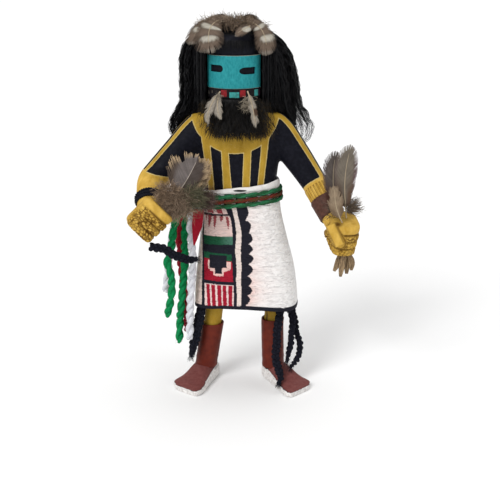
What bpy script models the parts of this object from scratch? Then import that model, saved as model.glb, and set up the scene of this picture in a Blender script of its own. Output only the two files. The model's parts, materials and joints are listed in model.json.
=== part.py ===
"""Standing carved and painted wooden kachina doll with a leather mask, hair, feathers, kilt and yarn.

The doll faces -Y and stands on its own two feet on the plane Z = 0. Lengths are in metres.
The pose and the proportions of the carving are shares of the doll's height: one UNIT is about
a millimetre at the real size. Leather, yarn, feathers and gaps have real sizes of their own.
"""

import math

import bmesh
import bpy
from mathutils import Matrix, Vector

# Driving dimensions
FIGURE_HEIGHT = 0.299
UNIT = FIGURE_HEIGHT / 299.0
ORIGIN_SHIFT = Vector((-3.55, 8.0, 0.0)) * UNIT
GAP = 0.0004
BEARD_GAP = 0.0006

# Mask and head
HEAD_RADIUS = 0.0216
HEAD_BOTTOM = 231.0 * UNIT
HEAD_TOP = 286.5 * UNIT
HEAD_AXIS = Vector((-3.4, 0.0, 0.0)) * UNIT
HEAD_SIDES = 22
FACE_TURN = math.radians(-2.0)
FACE_HALF_ANGLE = math.radians(63.0)
FACE_BOTTOM = 244.6 * UNIT
FACE_HEIGHT = 0.0252
FACE_THICKNESS = 0.0013
EYE_HEIGHT = 0.0054
EYES = {
    "right": {"angle": -38.0, "above_rim": 15.2, "length": 0.0130, "nose_end": "round"},
    "left": {"angle": 27.0, "above_rim": 13.6, "length": 0.0143, "nose_end": "pointed"},
}
CHIN_BAND_HEIGHT = 0.0072
CHIN_BAND_THICKNESS = 0.0009
FACE_STEPS = 15
CHIN_BAND_STEPS = 14

# Limbs and boots
LEG_RADIUS = 0.0073
BOOT_LEATHER = 0.0014
BOOT_SHAFT_BOTTOM = 0.0125
BOOT_SIDES = 14
FOOT_LENGTH = 0.0560
FOOT_TOE_SLANT = 0.45
FIST_LENGTH = 0.0265
FIST_WIDTH = 0.0262
FIST_DEPTH = 0.0215
FINGER_COUNT = 4
CUFF_THICKNESS = 0.0011
WRIST_YARN_THICKNESS = 0.0030

# Cloth, yarn and feathers
KILT_THICKNESS = 0.0015
BELT_YARN = 0.0034
BELT_ROWS = ("green_upper", "red_middle", "green_lower")
HIP_YARN = 0.0062
BRAID = 0.0054
CORD_SPACING = 2.0
FEATHER_THICKNESS = 0.0009
QUILL_RADIUS = 0.0006

COLOURS = {
    "black_paint": ((0.010, 0.010, 0.018), 0.55),
    "turquoise_leather": ((0.045, 0.42, 0.45), 0.60),
    "black_leather": ((0.010, 0.010, 0.014), 0.55),
    "hair": ((0.004, 0.004, 0.006), 0.45),
    "brown_leather": ((0.16, 0.030, 0.020), 0.50),
    "white_leather": ((0.80, 0.74, 0.72), 0.65),
    "green_yarn": ((0.004, 0.21, 0.07), 0.90),
    "red_yarn": ((0.38, 0.012, 0.02), 0.90),
    "white_yarn": ((0.75, 0.76, 0.80), 0.90),
    "black_yarn": ((0.006, 0.006, 0.012), 0.90),
    "feather_brown": ((0.19, 0.135, 0.10), 0.70),
    "feather_pale": ((0.45, 0.41, 0.36), 0.70),
    "husk": ((0.30, 0.22, 0.13), 0.60),
}

# The carving, in UNITs: height, middle x, middle y, half width, half depth
TORSO = (
    (99, 0.5, 0.0, 23.0, 12.5),
    (125, 0.6, 0.0, 26.5, 14.0),
    (150, 0.8, 0.0, 27.6, 14.8),
    (166, 0.8, 0.0, 28.4, 15.2),
    (182, 0.6, 0.0, 30.6, 16.2),
    (200, 0.0, 0.0, 34.5, 16.8),
    (213, -1.0, 0.4, 35.0, 16.0),
    (222, -2.0, 0.8, 29.5, 13.8),
    (228.5, -3.0, 1.0, 19.0, 11.5),
    (235, -3.4, 1.0, 13.0, 9.5),
)
TORSO_SIDES = 22
TORSO_SQUARENESS = 2.3

# Arms, in UNITs: x, y, z, radius. "right" and "left" are the doll's own sides.
ARMS = {
    "right": (
        (-20.0, 3.0, 216.0, 11.5),
        (-32.0, 2.0, 209.0, 13.2),
        (-49.0, -1.0, 191.0, 12.4),
        (-62.0, -4.5, 177.0, 11.9),
        (-68.3, -10.0, 170.0, 11.6),
        (-69.8, -19.0, 164.5, 10.6),
        (-69.6, -28.0, 159.0, 9.8),
        (-69.2, -37.0, 153.0, 9.4),
    ),
    "left": (
        (17.0, 3.0, 216.0, 11.5),
        (29.5, 2.0, 209.0, 13.2),
        (43.0, -1.0, 191.5, 12.0),
        (52.0, -4.0, 179.0, 11.0),
        (59.2, -8.5, 168.5, 10.2),
        (65.2, -14.5, 158.5, 9.6),
        (70.8, -21.5, 149.0, 9.2),
        (76.0, -29.0, 140.5, 8.8),
    ),
}
ARM_SIDES = 12

# The bow guard and the wrist yarn, in stations of the arm tables, counted back from the hand
CUFF_BACK_FROM_HAND = 0.65
CUFF_LENGTH = 1.20
WRIST_YARN_BACK_FROM_HAND = 0.95
WRIST_YARN_HALF_LENGTH = 0.16

# The left thumb lies across the front of its fist: its two ends in UNITs, and its half sizes
LEFT_THUMB_ENDS = ((69.8, -48.2, 144.8), (77.4, -50.6, 128.8))
LEFT_THUMB_HALF_WIDTH = 0.0041
LEFT_THUMB_HALF_DEPTH = 0.0032
LEFT_THUMB_ROUNDING = 0.0013

FISTS = {
    "right": {
        "centre": (-68.6, -42.5, 147.0),
        "stack": (0.70, 0.10, 0.70),
        "finger": (0.70, -0.05, -0.71),
        "back": -1.0,
    },
    "left": {
        "centre": (80.8, -36.5, 134.0),
        "stack": (0.10, -0.32, 0.94),
        "finger": (0.22, -0.97, -0.30),
        "back": 1.0,
    },
}

# Legs, in UNITs: x, y, z. Feet: the inner heel corner and how far the foot turns out.
LEGS = {
    "right": {
        "line": (
            (-14.0, 0, 114), (-17.5, 0, 88), (-21.0, 0, 60), (-22.6, 0.6, 47),
            (-27.6, 2.0, 15), (-28.4, 2.4, 5),
        ),
        "boot_top": 48.6,
        "heel": (-15.0, 12.4),
        "turn_out": 18.0,
        "side": -1.0,
    },
    "left": {
        "line": (
            (13.0, 0, 114), (20.5, 0, 88), (27.4, 0, 62), (26.9, 0.6, 47),
            (27.6, 1.0, 15), (27.8, 1.2, 5),
        ),
        "boot_top": 52.4,
        "heel": (15.8, 7.4),
        "turn_out": 24.0,
        "side": 1.0,
    },
}
THIGH_RADIUS = 0.0095
LEG_SIDES = 12

# Foot sections: share of the length, inner edge, outer edge, sole height, instep height, in UNITs
FOOT = (
    (0.00, 4.5, 15.5, 8.2, 11.5),
    (0.06, 1.2, 19.4, 8.8, 13.5),
    (0.20, 0.0, 21.4, 8.4, 14.5),
    (0.40, 0.2, 22.8, 6.6, 13.6),
    (0.60, -0.2, 24.8, 5.2, 10.4),
    (0.80, -1.0, 27.2, 4.4, 7.4),
    (0.94, -0.8, 27.6, 4.2, 6.2),
    (1.00, 1.0, 25.2, 3.8, 5.2),
)

# Hair, in UNITs: height, middle x, middle y, half width, half depth
HAIR = (
    (178, 2.0, 23.0, 26.0, 4.5),
    (189, 2.0, 22.0, 41.5, 8.4),
    (199, 2.4, 20.5, 53.5, 11.0),
    (209, 1.4, 18.8, 56.2, 14.0),
    (220, 0.6, 16.0, 52.2, 18.5),
    (230, 0.8, 12.5, 47.4, 23.5),
    (248, -0.1, 10.0, 45.9, 25.9),
    (265, -2.2, 9.0, 43.6, 25.6),
    (275, -3.4, 8.5, 39.2, 24.2),
    (283, -4.4, 8.0, 31.8, 20.5),
    (288.5, -4.6, 7.5, 22.0, 14.5),
    (291, -4.6, 7.0, 9.0, 6.5),
)
HAIR_SIDES = 20
FACE_WINDOW_BACK = -4.0 * UNIT

# Beard, in UNITs, as the hair
BEARD = (
    (198, 1.0, -17.5, 7.0, 4.0),
    (204, 0.5, -18.5, 16.0, 8.0),
    (213, 0.0, -19.0, 23.0, 11.0),
    (223, -1.5, -18.5, 25.0, 12.0),
    (231, -3.0, -17.0, 23.0, 11.8),
    (236.4, -3.4, -15.5, 21.0, 11.6),
)
BEARD_SIDES = 18

# Kilt, in UNITs: height, middle x, half width, half depth, squareness. The waist is the torso's.
KILT = (
    (162.0, 0.9, 30.4, 17.2, 2.3),
    (150.0, 1.3, 31.2, 18.0, 2.4),
    (139.0, 1.9, 32.2, 19.2, 2.5),
    (119.0, 3.5, 35.6, 21.6, 2.7),
    (101.0, 4.8, 38.8, 24.0, 2.9),
    (84.0, 5.3, 40.8, 25.4, 3.1),
    (65.0, 5.6, 41.8, 26.0, 3.2),
)
KILT_SIDES = 28
KILT_WAIST_TILT = 0.095
KILT_TURN = math.radians(-7.0)
BELT_BELOW_WAIST = 5.8 * UNIT

# Routes of the hanging yarn and braids, in UNITs, each from its fastening to its free end
HIP_YARNS = {
    "green_1": (
        (-41.0, -17.5, 154), (-46.0, -17.0, 148), (-50.5, -15.5, 139), (-53.0, -14, 127),
        (-54.4, -13, 116), (-57.8, -13, 104), (-55.6, -12, 95), (-54.4, -12, 84), (-55.8, -12, 72),
        (-58.8, -12, 58),
    ),
    "green_2": (
        (-35.0, -11, 153), (-40.0, -10.6, 145), (-43.0, -10, 136), (-43.6, -10, 120),
        (-43.9, -10, 104), (-45.4, -9.5, 88), (-46.9, -9, 72), (-48.6, -8.5, 54),
        (-49.6, -8.5, 34.5),
    ),
    "red_1": (
        (-37.8, -3.8, 152.5), (-42.6, -3.2, 145), (-47.0, -2.4, 135), (-48.3, -2.2, 120),
        (-47.6, -2.0, 104), (-46.0, -1.8, 84), (-44.2, -1.4, 64), (-43.4, -1.0, 42),
    ),
    "white_1": (
        (-33.0, -19.4, 154), (-37.0, -19.2, 147), (-38.6, -18.2, 137), (-37.8, -17.6, 120),
        (-37.2, -17.4, 104), (-38.8, -17, 84), (-39.8, -16.6, 64), (-40.6, -16.4, 40),
    ),
    "white_2": (
        (-38.0, 4.2, 152), (-44.4, 4.4, 146), (-50.0, 4.2, 136), (-55.0, 4, 120), (-57.5, 4, 104),
        (-58.8, 4, 90), (-61.2, 4, 74),
    ),
}
BRAIDS = {
    "held_braid": (
        (-67.6, -47.2, 127.2), (-65.6, -46.8, 126.4), (-61.5, -45.8, 125.4), (-56.4, -44.0, 123.4),
        (-50.2, -41.6, 118.6), (-43.7, -38, 114.7), (-38.4, -34, 112.7), (-33.1, -30, 111.9),
    ),
    "knee_braid_right_1": (
        (-31.0, -3, 66), (-33.4, -4.5, 56), (-36.0, -6.0, 44), (-38.0, -6.8, 32), (-40.2, -7, 21),
    ),
    "knee_braid_right_2": (
        (-29.8, -9.8, 66), (-32.2, -11.4, 56), (-34.4, -12.4, 45), (-36.6, -12.8, 35),
        (-38.2, -13.0, 26),
    ),
    "knee_braid_left_1": (
        (33.8, -11.4, 65), (31.4, -13.6, 54), (30.4, -14.8, 42.6), (29.8, -15.4, 31.0),
        (29.6, -18.4, 20.8), (32.4, -23.6, 15.2), (33.2, -29.0, 11.2), (31.4, -32.6, 7.6),
    ),
    "knee_braid_left_2": (
        (40.0, -5.0, 65), (43.2, -6.6, 52), (42.2, -8.0, 40), (41.8, -9.0, 32), (40.0, -10.0, 25),
        (38.8, -12.4, 19.0),
    ),
    "knee_braid_left_3": (
        (41.8, 2.6, 65), (45.2, 1.2, 52), (46.6, 0.2, 41), (49.6, -1.0, 31), (49.2, -3.4, 22.6),
        (45.8, -8.4, 17.6), (41.6, -15.0, 15.0),
    ),
}

# Feathers, in UNITs: points along the shaft, where the face looks, half width, bare share
FEATHERS = {
    "crest_feather_right": (
        (
            (-8, -1, 295.0), (-16.4, -8.0, 294.6), (-21.8, -15.2, 289.6), (-22.8, -22.2, 281.6),
            (-21.8, -25.2, 274.6),
        ),
        (-0.2, -1, 0.5),
        12.5,
        0.10,
    ),
    "crest_feather_right_under": (
        (
            (-5, 8, 295.6), (-18, 3.0, 295.6), (-30, -7.0, 289.0), (-36.0, -15.5, 279),
        ),
        (-0.5, -0.8, 0.6),
        8.5,
        0.12,
    ),
    "crest_feather_left": (
        (
            (1, 1, 293.0), (9.2, -7.0, 293.6), (16.4, -14.0, 289.4), (20.0, -20.2, 282.6),
            (21.2, -22.7, 272.6),
        ),
        (0.2, -1, 0.5),
        8.6,
        0.10,
    ),
    "crest_feather_middle": (
        (
            (4.0, -7, 290.2), (8.6, -16.6, 291.4), (3.6, -22.0, 289.6), (-2.8, -24.2, 285.8),
        ),
        (0.1, -1, 0.9),
        4.6,
        0.30,
    ),
    "crest_feather_back_right": (
        (
            (-7, 10, 295.4), (-14, 22.0, 295.0), (-20, 32.0, 284), (-23, 37.0, 270),
        ),
        (-0.2, 1, 0.5),
        11.0,
        0.10,
    ),
    "crest_feather_back_left": (
        (
            (1, 10, 296.0), (8, 21.0, 295.0), (13, 31.0, 285), (16, 37.5, 271),
        ),
        (0.2, 1, 0.5),
        11.0,
        0.10,
    ),
    "chin_feather_right": (
        (
            (-14.6, -25.4, 242.6), (-17.0, -30.0, 237.5), (-19.2, -33.0, 230.0),
            (-20.8, -34.6, 224.0), (-21.8, -35.2, 218.0),
        ),
        (-0.2, -1, 0.1),
        7.0,
        0.14,
    ),
    "chin_feather_left": (
        (
            (7.4, -25.6, 242.6), (8.2, -30.0, 238.0), (9.6, -33.0, 231.0), (11.4, -34.6, 224.0),
            (12.6, -35.2, 216.6),
        ),
        (0.2, -1, 0.1),
        5.8,
        0.14,
    ),
    "hand_feather_right": (
        (
            (-58.0, -42.0, 158.2), (-52, -40.0, 161.6), (-46.0, -37.6, 168.0),
            (-38.3, -34.0, 179.5), (-31.0, -30.0, 193.5),
        ),
        (0.1, -1, 0.2),
        18.5,
        0.24,
    ),
    "hand_feather_right_under": (
        (
            (-44, -27.0, 157), (-35.5, -27.6, 165), (-29.4, -26.4, 178.0), (-24.8, -24.6, 190.5),
        ),
        (0.1, -1, 0.1),
        8.0,
        0.20,
    ),
    "hand_feather_left_tall": (
        (
            (82.4, -43.4, 148.6), (81.2, -45.0, 160), (80.6, -43.6, 176), (82.0, -40.6, 190.0),
            (85.2, -37.0, 203.0),
        ),
        (-0.1, -1, 0.15),
        9.0,
        0.16,
    ),
    "hand_feather_left_round": (
        (
            (77.8, -42.0, 147.5), (75.0, -41.2, 156), (72.6, -38.2, 168.0), (72.4, -35.0, 184.0),
            (74.2, -32.0, 197.0),
        ),
        (0.25, -1, 0.1),
        8.5,
        0.16,
    ),
    "hand_feather_left_short": (
        (
            (79.0, -47.4, 146), (76.4, -49.6, 152), (73.4, -51.0, 162.0), (72.0, -50.4, 176.0),
        ),
        (0.0, -1, 0.2),
        6.5,
        0.16,
    ),
}
FEATHER_STATIONS = 8

# Dry husk strips under the left fist, in UNITs: route and half width
HUSK_STRIPS = {
    "husk_strip_1": (
        ((80.6, -33.4, 119.4), (78.1, -34.4, 112.5), (76.4, -34.8, 108.0), (74.4, -34.2, 103.4)),
        2.6,
    ),
    "husk_strip_2": (
        ((81.8, -37.8, 117.6), (80.6, -38.0, 111.6), (79.8, -38.2, 106.0), (79.2, -37.8, 100.0)),
        2.4,
    ),
    "husk_strip_3": (
        ((84.6, -33.4, 119.4), (84.8, -34.0, 112.0), (84.4, -34.6, 107.0), (84.2, -34.8, 101.4)),
        2.6,
    ),
    "husk_strip_4": (
        ((86.0, -37.8, 117.4), (87.4, -37.8, 113.6), (88.0, -37.6, 109.6), (87.6, -37.2, 105.0)),
        2.4,
    ),
}
HUSK_THICKNESS = 0.0012
RED_SASH = ((-33.2, -24.4, 150), (-34.4, -24.6, 143), (-35.4, -24.4, 135), (-36.8, -24.2, 124))
RED_SASH_WIDTH = 0.0062


def material(slot):
    """A Principled material with the slot's colour and roughness, made once."""
    found = bpy.data.materials.get(slot)
    if found:
        return found
    colour, roughness = COLOURS[slot]
    made = bpy.data.materials.new(slot)
    made.use_nodes = True
    shader = made.node_tree.nodes["Principled BSDF"]
    shader.inputs["Base Color"].default_value = (*colour, 1.0)
    shader.inputs["Roughness"].default_value = roughness
    return made


def scaled(point):
    """A point given in UNITs, in metres."""
    return Vector(point) * UNIT


def object_from(name, build, slot=None):
    """A mesh object whose faces the function build adds to a bmesh, all facing out."""
    work = bmesh.new()
    build(work)
    bmesh.ops.triangulate(work, faces=work.faces)
    bmesh.ops.recalc_face_normals(work, faces=work.faces)
    mesh = bpy.data.meshes.new(name)
    work.to_mesh(mesh)
    work.free()
    obj = bpy.data.objects.new(name, mesh)
    bpy.context.scene.collection.objects.link(obj)
    if slot:
        mesh.materials.append(material(slot))
    return obj


def loft(name, rings, slot=None):
    """A closed solid through rings of equally many points, each end closed by a fan."""

    def build(work):
        rows = [[work.verts.new(p) for p in ring] for ring in rings]
        count = len(rows[0])
        for low, high in zip(rows, rows[1:]):
            for i in range(count):
                j = (i + 1) % count
                work.faces.new((low[i], low[j], high[j], high[i]))
        for row in (rows[0], rows[-1]):
            middle = work.verts.new(sum((v.co for v in row), Vector()) / count)
            for i in range(count):
                work.faces.new((row[i], row[(i + 1) % count], middle))

    return object_from(name, build, slot)


def shell(name, outer, inner, slot=None):
    """A tube wall between two stacks of rings, closed at both rims."""

    def build(work):
        walls = [[[work.verts.new(p) for p in ring] for ring in stack] for stack in (outer, inner)]
        count = len(walls[0][0])
        for i in range(count):
            j = (i + 1) % count
            for rows in walls:
                for low, high in zip(rows, rows[1:]):
                    work.faces.new((low[i], low[j], high[j], high[i]))
            for end in (0, -1):
                a, b = walls[0][end], walls[1][end]
                work.faces.new((a[i], a[j], b[j], b[i]))

    return object_from(name, build, slot)


def combine(target, others, operation):
    """Joins others to target, or cuts them from it, and removes them."""
    for other in others:
        step = target.modifiers.new(operation, "BOOLEAN")
        step.operation = operation
        step.solver = "EXACT"
        step.object = other
    graph = bpy.context.evaluated_depsgraph_get()
    graph.update()
    result = bpy.data.meshes.new_from_object(target.evaluated_get(graph))
    target.modifiers.clear()
    target.data = result
    for other in others:
        bpy.data.objects.remove(other)
    return target


def superellipse(half_x, half_y, squareness, count):
    """Points of a rounded oval about the origin, counted from +X towards +Y."""
    points = []
    for i in range(count):
        angle = 2 * math.pi * i / count
        c, s = math.cos(angle), math.sin(angle)
        x = math.copysign(abs(c) ** (2 / squareness), c) * half_x
        y = math.copysign(abs(s) ** (2 / squareness), s) * half_y
        points.append((x, y))
    return points


def oval_stack(table, sides, squareness=2.0, grow=0.0):
    """Level rings from a table of (height, x, y, half width, half depth), grown by a clearance."""
    rings = []
    last = len(table) - 1
    for i, (height, x, y, width, depth) in enumerate(table):
        lift = {0: -grow, last: grow}.get(i, 0.0)
        oval = superellipse(width * UNIT + grow, depth * UNIT + grow, squareness, sides)
        rings.append([Vector((x * UNIT + a, y * UNIT + b, height * UNIT + lift)) for a, b in oval])
    return rings


def smooth_line(points, steps):
    """A Catmull-Rom curve through points, with this many steps between neighbours."""
    points = [Vector(p) for p in points]
    ends = [points[0] * 2 - points[1], *points, points[-1] * 2 - points[-2]]
    line = []
    for a, b, c, d in zip(ends, ends[1:], ends[2:], ends[3:]):
        for i in range(steps):
            t = i / steps
            curve = (2 * a - 5 * b + 4 * c - d) * t * t
            twist = (3 * b - a - 3 * c + d) * t**3
            line.append(0.5 * (2 * b + (c - a) * t + curve + twist))
    line.append(points[-1])
    return line


def evenly(line, spacing):
    """Points read from a line at one spacing, the nearest that fits its length."""
    lengths = [0.0]
    for a, b in zip(line, line[1:]):
        lengths.append(lengths[-1] + (b - a).length)
    count = max(3, round(lengths[-1] / spacing))
    points = []
    step = 0
    for i in range(count + 1):
        at = lengths[-1] * i / count
        while step < len(line) - 2 and lengths[step + 1] < at:
            step += 1
        share = (at - lengths[step]) / (lengths[step + 1] - lengths[step])
        points.append(line[step].lerp(line[step + 1], min(1.0, share)))
    return points


def frames_along(line, hint):
    """(tangent, side, face) at each point of a line. The face direction stays near hint."""
    frames = []
    for i, point in enumerate(line):
        tangent = (line[min(i + 1, len(line) - 1)] - line[max(i - 1, 0)]).normalized()
        side = tangent.cross(Vector(hint)).normalized()
        frames.append((tangent, side, side.cross(tangent).normalized()))
    return frames


def tube_rings(line, radii, hint, sides):
    rings = []
    for point, radius, (_, side, face) in zip(line, radii, frames_along(line, hint)):
        ring = []
        for i in range(sides):
            angle = 2 * math.pi * i / sides
            ring.append(point + side * (math.cos(angle) * radius) + face * (math.sin(angle) * radius))
        rings.append(ring)
    return rings


def turned_stack(profile, axis, sides):
    """Level rings of a turned profile of (radius, height) pairs about an upright axis."""
    rings = []
    for radius, height in profile:
        ring = []
        for i in range(sides):
            angle = 2 * math.pi * i / sides
            ring.append(axis + Vector((math.cos(angle) * radius, math.sin(angle) * radius, height)))
        rings.append(ring)
    return rings


def head(name, grow=0.0):
    r = HEAD_RADIUS + grow
    dome = HEAD_TOP - HEAD_RADIUS * 0.36
    profile = (
        (r * 0.90, HEAD_BOTTOM - grow),
        (r, HEAD_BOTTOM + HEAD_RADIUS * 0.10),
        (r, dome),
        (r * 0.94, dome + HEAD_RADIUS * 0.17),
        (r * 0.74, dome + HEAD_RADIUS * 0.29),
        (r * 0.40, HEAD_TOP + grow),
    )
    return loft(name, turned_stack(profile, HEAD_AXIS, HEAD_SIDES))


def torso(name, grow=0.0):
    return loft(name, oval_stack(TORSO, TORSO_SIDES, TORSO_SQUARENESS, grow))


def arm_line(side):
    """(points, radii) down the middle of an arm."""
    table = ARMS[side]
    return [scaled(row[:3]) for row in table], [row[3] * UNIT for row in table]


def arm_at(side, station):
    """The point, radius and direction of the arm at a fractional station of its table."""
    points, radii = arm_line(side)
    low = min(int(station), len(points) - 2)
    share = station - low
    point = points[low].lerp(points[low + 1], share)
    radius = radii[low] + (radii[low + 1] - radii[low]) * share
    return point, radius, (points[low + 1] - points[low]).normalized()


def arm(name, side, grow=0.0):
    points, radii = arm_line(side)
    return loft(name, tube_rings(points, [r + grow for r in radii], (0, -1, 0.25), ARM_SIDES))


def collar(name, side, start, end, thickness, slot, stations=3):
    """A sleeve of one thickness around an arm, between two stations."""
    samples = [arm_at(side, start + (end - start) * i / (stations - 1)) for i in range(stations)]
    line = [point for point, _, _ in samples]
    inside = [radius + GAP for _, radius, _ in samples]
    outside = [radius + thickness for radius in inside]
    hint = (0, -1, 0.25)
    outer, inner = (tube_rings(line, radii, hint, ARM_SIDES) for radii in (outside, inside))
    return shell(name, outer, inner, slot)


def rounded_slab(name, placing, half_u, half_v, low, high, rounding, squareness=3.2, sides=10):
    """A slab with a rounded outline and eased rims, in a placing matrix, from low to high along its Z."""
    rings = []
    for height, inset in ((low, rounding), (low + rounding, 0.0), (high - rounding, 0.0), (high, rounding)):
        outline = superellipse(half_u - inset, half_v - inset, squareness, sides)
        rings.append([placing @ Vector((u, v, height)) for u, v in outline])
    return loft(name, rings)


def fist_placing(side):
    """A fist's frame: X along the fingers, Y out of the hand's back, Z from little finger to thumb."""
    facts = FISTS[side]
    stack = Vector(facts["stack"]).normalized()
    finger = Vector(facts["finger"])
    finger = (finger - stack * finger.dot(stack)).normalized()
    back = stack.cross(finger) * facts["back"]
    placing = Matrix((finger, back, stack)).transposed().to_4x4()
    placing.translation = scaled(facts["centre"])
    return placing


def fist_pieces(side):
    """The four curled fingers, the palm and the thumb of one fist, as overlapping solids."""
    placing = fist_placing(side)
    half_length, half_depth = FIST_LENGTH / 2, FIST_DEPTH / 2
    finger = FIST_WIDTH / FINGER_COUNT
    bite = finger * 0.10
    pieces = []
    for i in range(FINGER_COUNT):
        low = -FIST_WIDTH / 2 + i * finger
        reach = 1.0 - 0.035 * abs(i - 2)
        pieces.append(
            rounded_slab(
                "finger",
                placing,
                half_length * reach,
                half_depth * reach,
                low - bite,
                low + finger + bite,
                finger * 0.22,
            )
        )
    palm_centre = placing @ Matrix.Translation((-half_length * 0.42, half_depth * 0.03, 0.0))
    pieces.append(
        rounded_slab(
            "palm",
            palm_centre,
            half_length * 0.66,
            half_depth * 1.03,
            -FIST_WIDTH * 0.475,
            FIST_WIDTH * 0.49,
            finger * 0.5,
            squareness=2.6,
        )
    )
    thumb = (
        placing
        @ Matrix.Translation((-half_length * 0.02, -half_depth * 0.92, FIST_WIDTH * 0.14))
        @ Matrix.Rotation(math.radians(38.0), 4, "Y")
    )
    pieces.append(
        rounded_slab(
            "thumb",
            thumb,
            FIST_LENGTH * 0.13,
            FIST_DEPTH * 0.17,
            -FIST_LENGTH * 0.40,
            FIST_LENGTH * 0.46,
            finger * 0.25,
            squareness=4.0,
            sides=8,
        )
    )
    if side == "left":
        pieces.append(left_thumb_end())
    return pieces


def left_thumb_end():
    """The end of the left thumb, laid across the front of the fist."""
    root, tip = [scaled(end) for end in LEFT_THUMB_ENDS]
    along = (tip - root).normalized()
    across = Vector((0.0, 1.0, 0.0)).cross(along).normalized()
    placing = Matrix((across, along.cross(across), along)).transposed().to_4x4()
    placing.translation = (root + tip) / 2
    reach = (tip - root).length / 2
    return rounded_slab(
        "thumb_end",
        placing,
        LEFT_THUMB_HALF_WIDTH,
        LEFT_THUMB_HALF_DEPTH,
        -reach,
        reach,
        LEFT_THUMB_ROUNDING,
        squareness=5.0,
    )


def leg(name, side, grow=0.0):
    line = [scaled(p) for p in LEGS[side]["line"]]
    radii = [THIGH_RADIUS + grow, THIGH_RADIUS * 0.97 + grow] + [LEG_RADIUS + grow] * (len(line) - 2)
    return loft(name, tube_rings(line, radii, (0, -1, 0), LEG_SIDES))


def foot(name, side, grow=0.0):
    """A moccasin foot with a flat sole: its inner heel corner is where LEGS says."""
    facts = LEGS[side]
    turn = math.radians(facts["turn_out"])
    forward = Vector((facts["side"] * math.sin(turn), -math.cos(turn), 0))
    outward = Vector((facts["side"] * math.cos(turn), math.sin(turn), 0))
    heel = scaled((*facts["heel"], 0))
    rings = []
    for number, (share, inner, outer, sole, instep) in enumerate(FOOT):
        middle, half = (inner + outer) / 2, (outer - inner) / 2
        section = (
            (-half + 0.8, 0.0),
            (half - 0.8, 0.0),
            (half, 1.4),
            (half - 0.2, sole),
            (half - 1.2, sole + 0.3),
            (half * 0.62, sole + (instep - sole) * 0.72),
            (0.0, instep),
            (-half * 0.62, sole + (instep - sole) * 0.72),
            (-half + 1.2, sole + 0.3),
            (-half + 0.2, sole),
            (-half, 1.4),
        )
        end = {0: -grow, len(FOOT) - 1: grow}.get(number, 0.0)
        ring = []
        for across, height in section:
            sideways = (middle + across) * UNIT
            slanted = FOOT_TOE_SLANT * max(0.0, sideways - inner * UNIT) * share**2
            along = FOOT_LENGTH * share - slanted + end
            swell = math.copysign(grow, across) if across else 0.0
            lift = grow if height > 1.0 else -grow
            up = Vector((0, 0, height * UNIT + lift))
            ring.append(heel + forward * along + outward * (sideways + swell) + up)
        rings.append(ring)
    return loft(name, rings)


def figure():
    """The carved doll: trunk, head, arms with closed fists, legs and feet, as one piece of wood."""
    carved = torso("figure")
    others = [head("head")]
    for side in ("right", "left"):
        others += [arm("arm", side), leg("leg", side), foot("foot", side), *fist_pieces(side)]
    combine(carved, others, "UNION")
    carved.data.materials.clear()
    carved.data.materials.append(material("black_paint"))
    return carved


def curved_plate(name, inside, thickness, bottom, height, half_angle, steps, slot):
    """A plate bent round the head's axis, centred on the way that the face looks."""

    def build(work):
        columns = []
        for i in range(steps + 1):
            angle = FACE_TURN - half_angle + 2 * half_angle * i / steps
            out = Vector((math.sin(angle), -math.cos(angle), 0))
            column = [
                work.verts.new(HEAD_AXIS + out * radius + Vector((0, 0, level)))
                for radius, level in (
                    (inside, bottom),
                    (inside + thickness, bottom),
                    (inside + thickness, bottom + height),
                    (inside, bottom + height),
                )
            ]
            columns.append(column)
        for a, b in zip(columns, columns[1:]):
            for k in range(4):
                j = (k + 1) % 4
                work.faces.new((a[k], a[j], b[j], b[k]))
        work.faces.new(columns[0])
        work.faces.new(columns[-1])

    return object_from(name, build, slot)


def eye_cutter(side):
    """A slot through the mask: square at its outer end, rounded or pointed towards the nose."""
    facts = EYES[side]
    outer = -1 if side == "right" else 1
    middle = math.radians(facts["angle"])
    out = Vector((math.sin(middle), -math.cos(middle), 0))
    across = Vector((math.cos(middle), math.sin(middle), 0)) * outer
    centre = HEAD_AXIS + Vector((0, 0, FACE_BOTTOM + facts["above_rim"] * UNIT))
    half_length, half_height = facts["length"] / 2, EYE_HEIGHT / 2
    outline = [(half_length, -half_height), (half_length, half_height)]
    reach = half_height if facts["nose_end"] == "round" else half_height * 1.8
    for i in range(7):
        angle = math.pi / 2 + math.pi * i / 6
        outline.append((-half_length + reach + math.cos(angle) * reach, math.sin(angle) * half_height))
    rings = []
    for radius in (HEAD_RADIUS * 0.8, HEAD_RADIUS * 1.3):
        rings.append([centre + out * radius + across * a + Vector((0, 0, b)) for a, b in outline])
    return loft("eye_cutter", rings)


def mask_face():
    plate = curved_plate(
        "mask_face",
        HEAD_RADIUS + GAP,
        FACE_THICKNESS,
        FACE_BOTTOM,
        FACE_HEIGHT,
        FACE_HALF_ANGLE,
        FACE_STEPS,
        "turquoise_leather",
    )
    return combine(plate, [eye_cutter("right"), eye_cutter("left")], "DIFFERENCE")


def chin_band():
    bottom = FACE_BOTTOM - GAP - CHIN_BAND_HEIGHT
    return curved_plate(
        "chin_band",
        HEAD_RADIUS + GAP,
        CHIN_BAND_THICKNESS,
        bottom,
        CHIN_BAND_HEIGHT,
        FACE_HALF_ANGLE,
        CHIN_BAND_STEPS,
        "black_leather",
    )


def face_window():
    """The space in front of the mask that the hair leaves free."""
    half = (HEAD_RADIUS + GAP + FACE_THICKNESS) * math.sin(FACE_HALF_ANGLE) + GAP
    centre = Vector((HEAD_AXIS.x + math.sin(FACE_TURN) * HEAD_RADIUS * 0.5, 0, 0))
    back, front = FACE_WINDOW_BACK, -3 * half
    corners = ((-half, back), (-half, front), (half, front), (half, back))
    rings = []
    for level in (HEAD_BOTTOM - HEAD_RADIUS * 0.2, FIGURE_HEIGHT):
        rings.append([centre + Vector((x, y, level)) for x, y in corners])
    return loft("face_window", rings)


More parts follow.
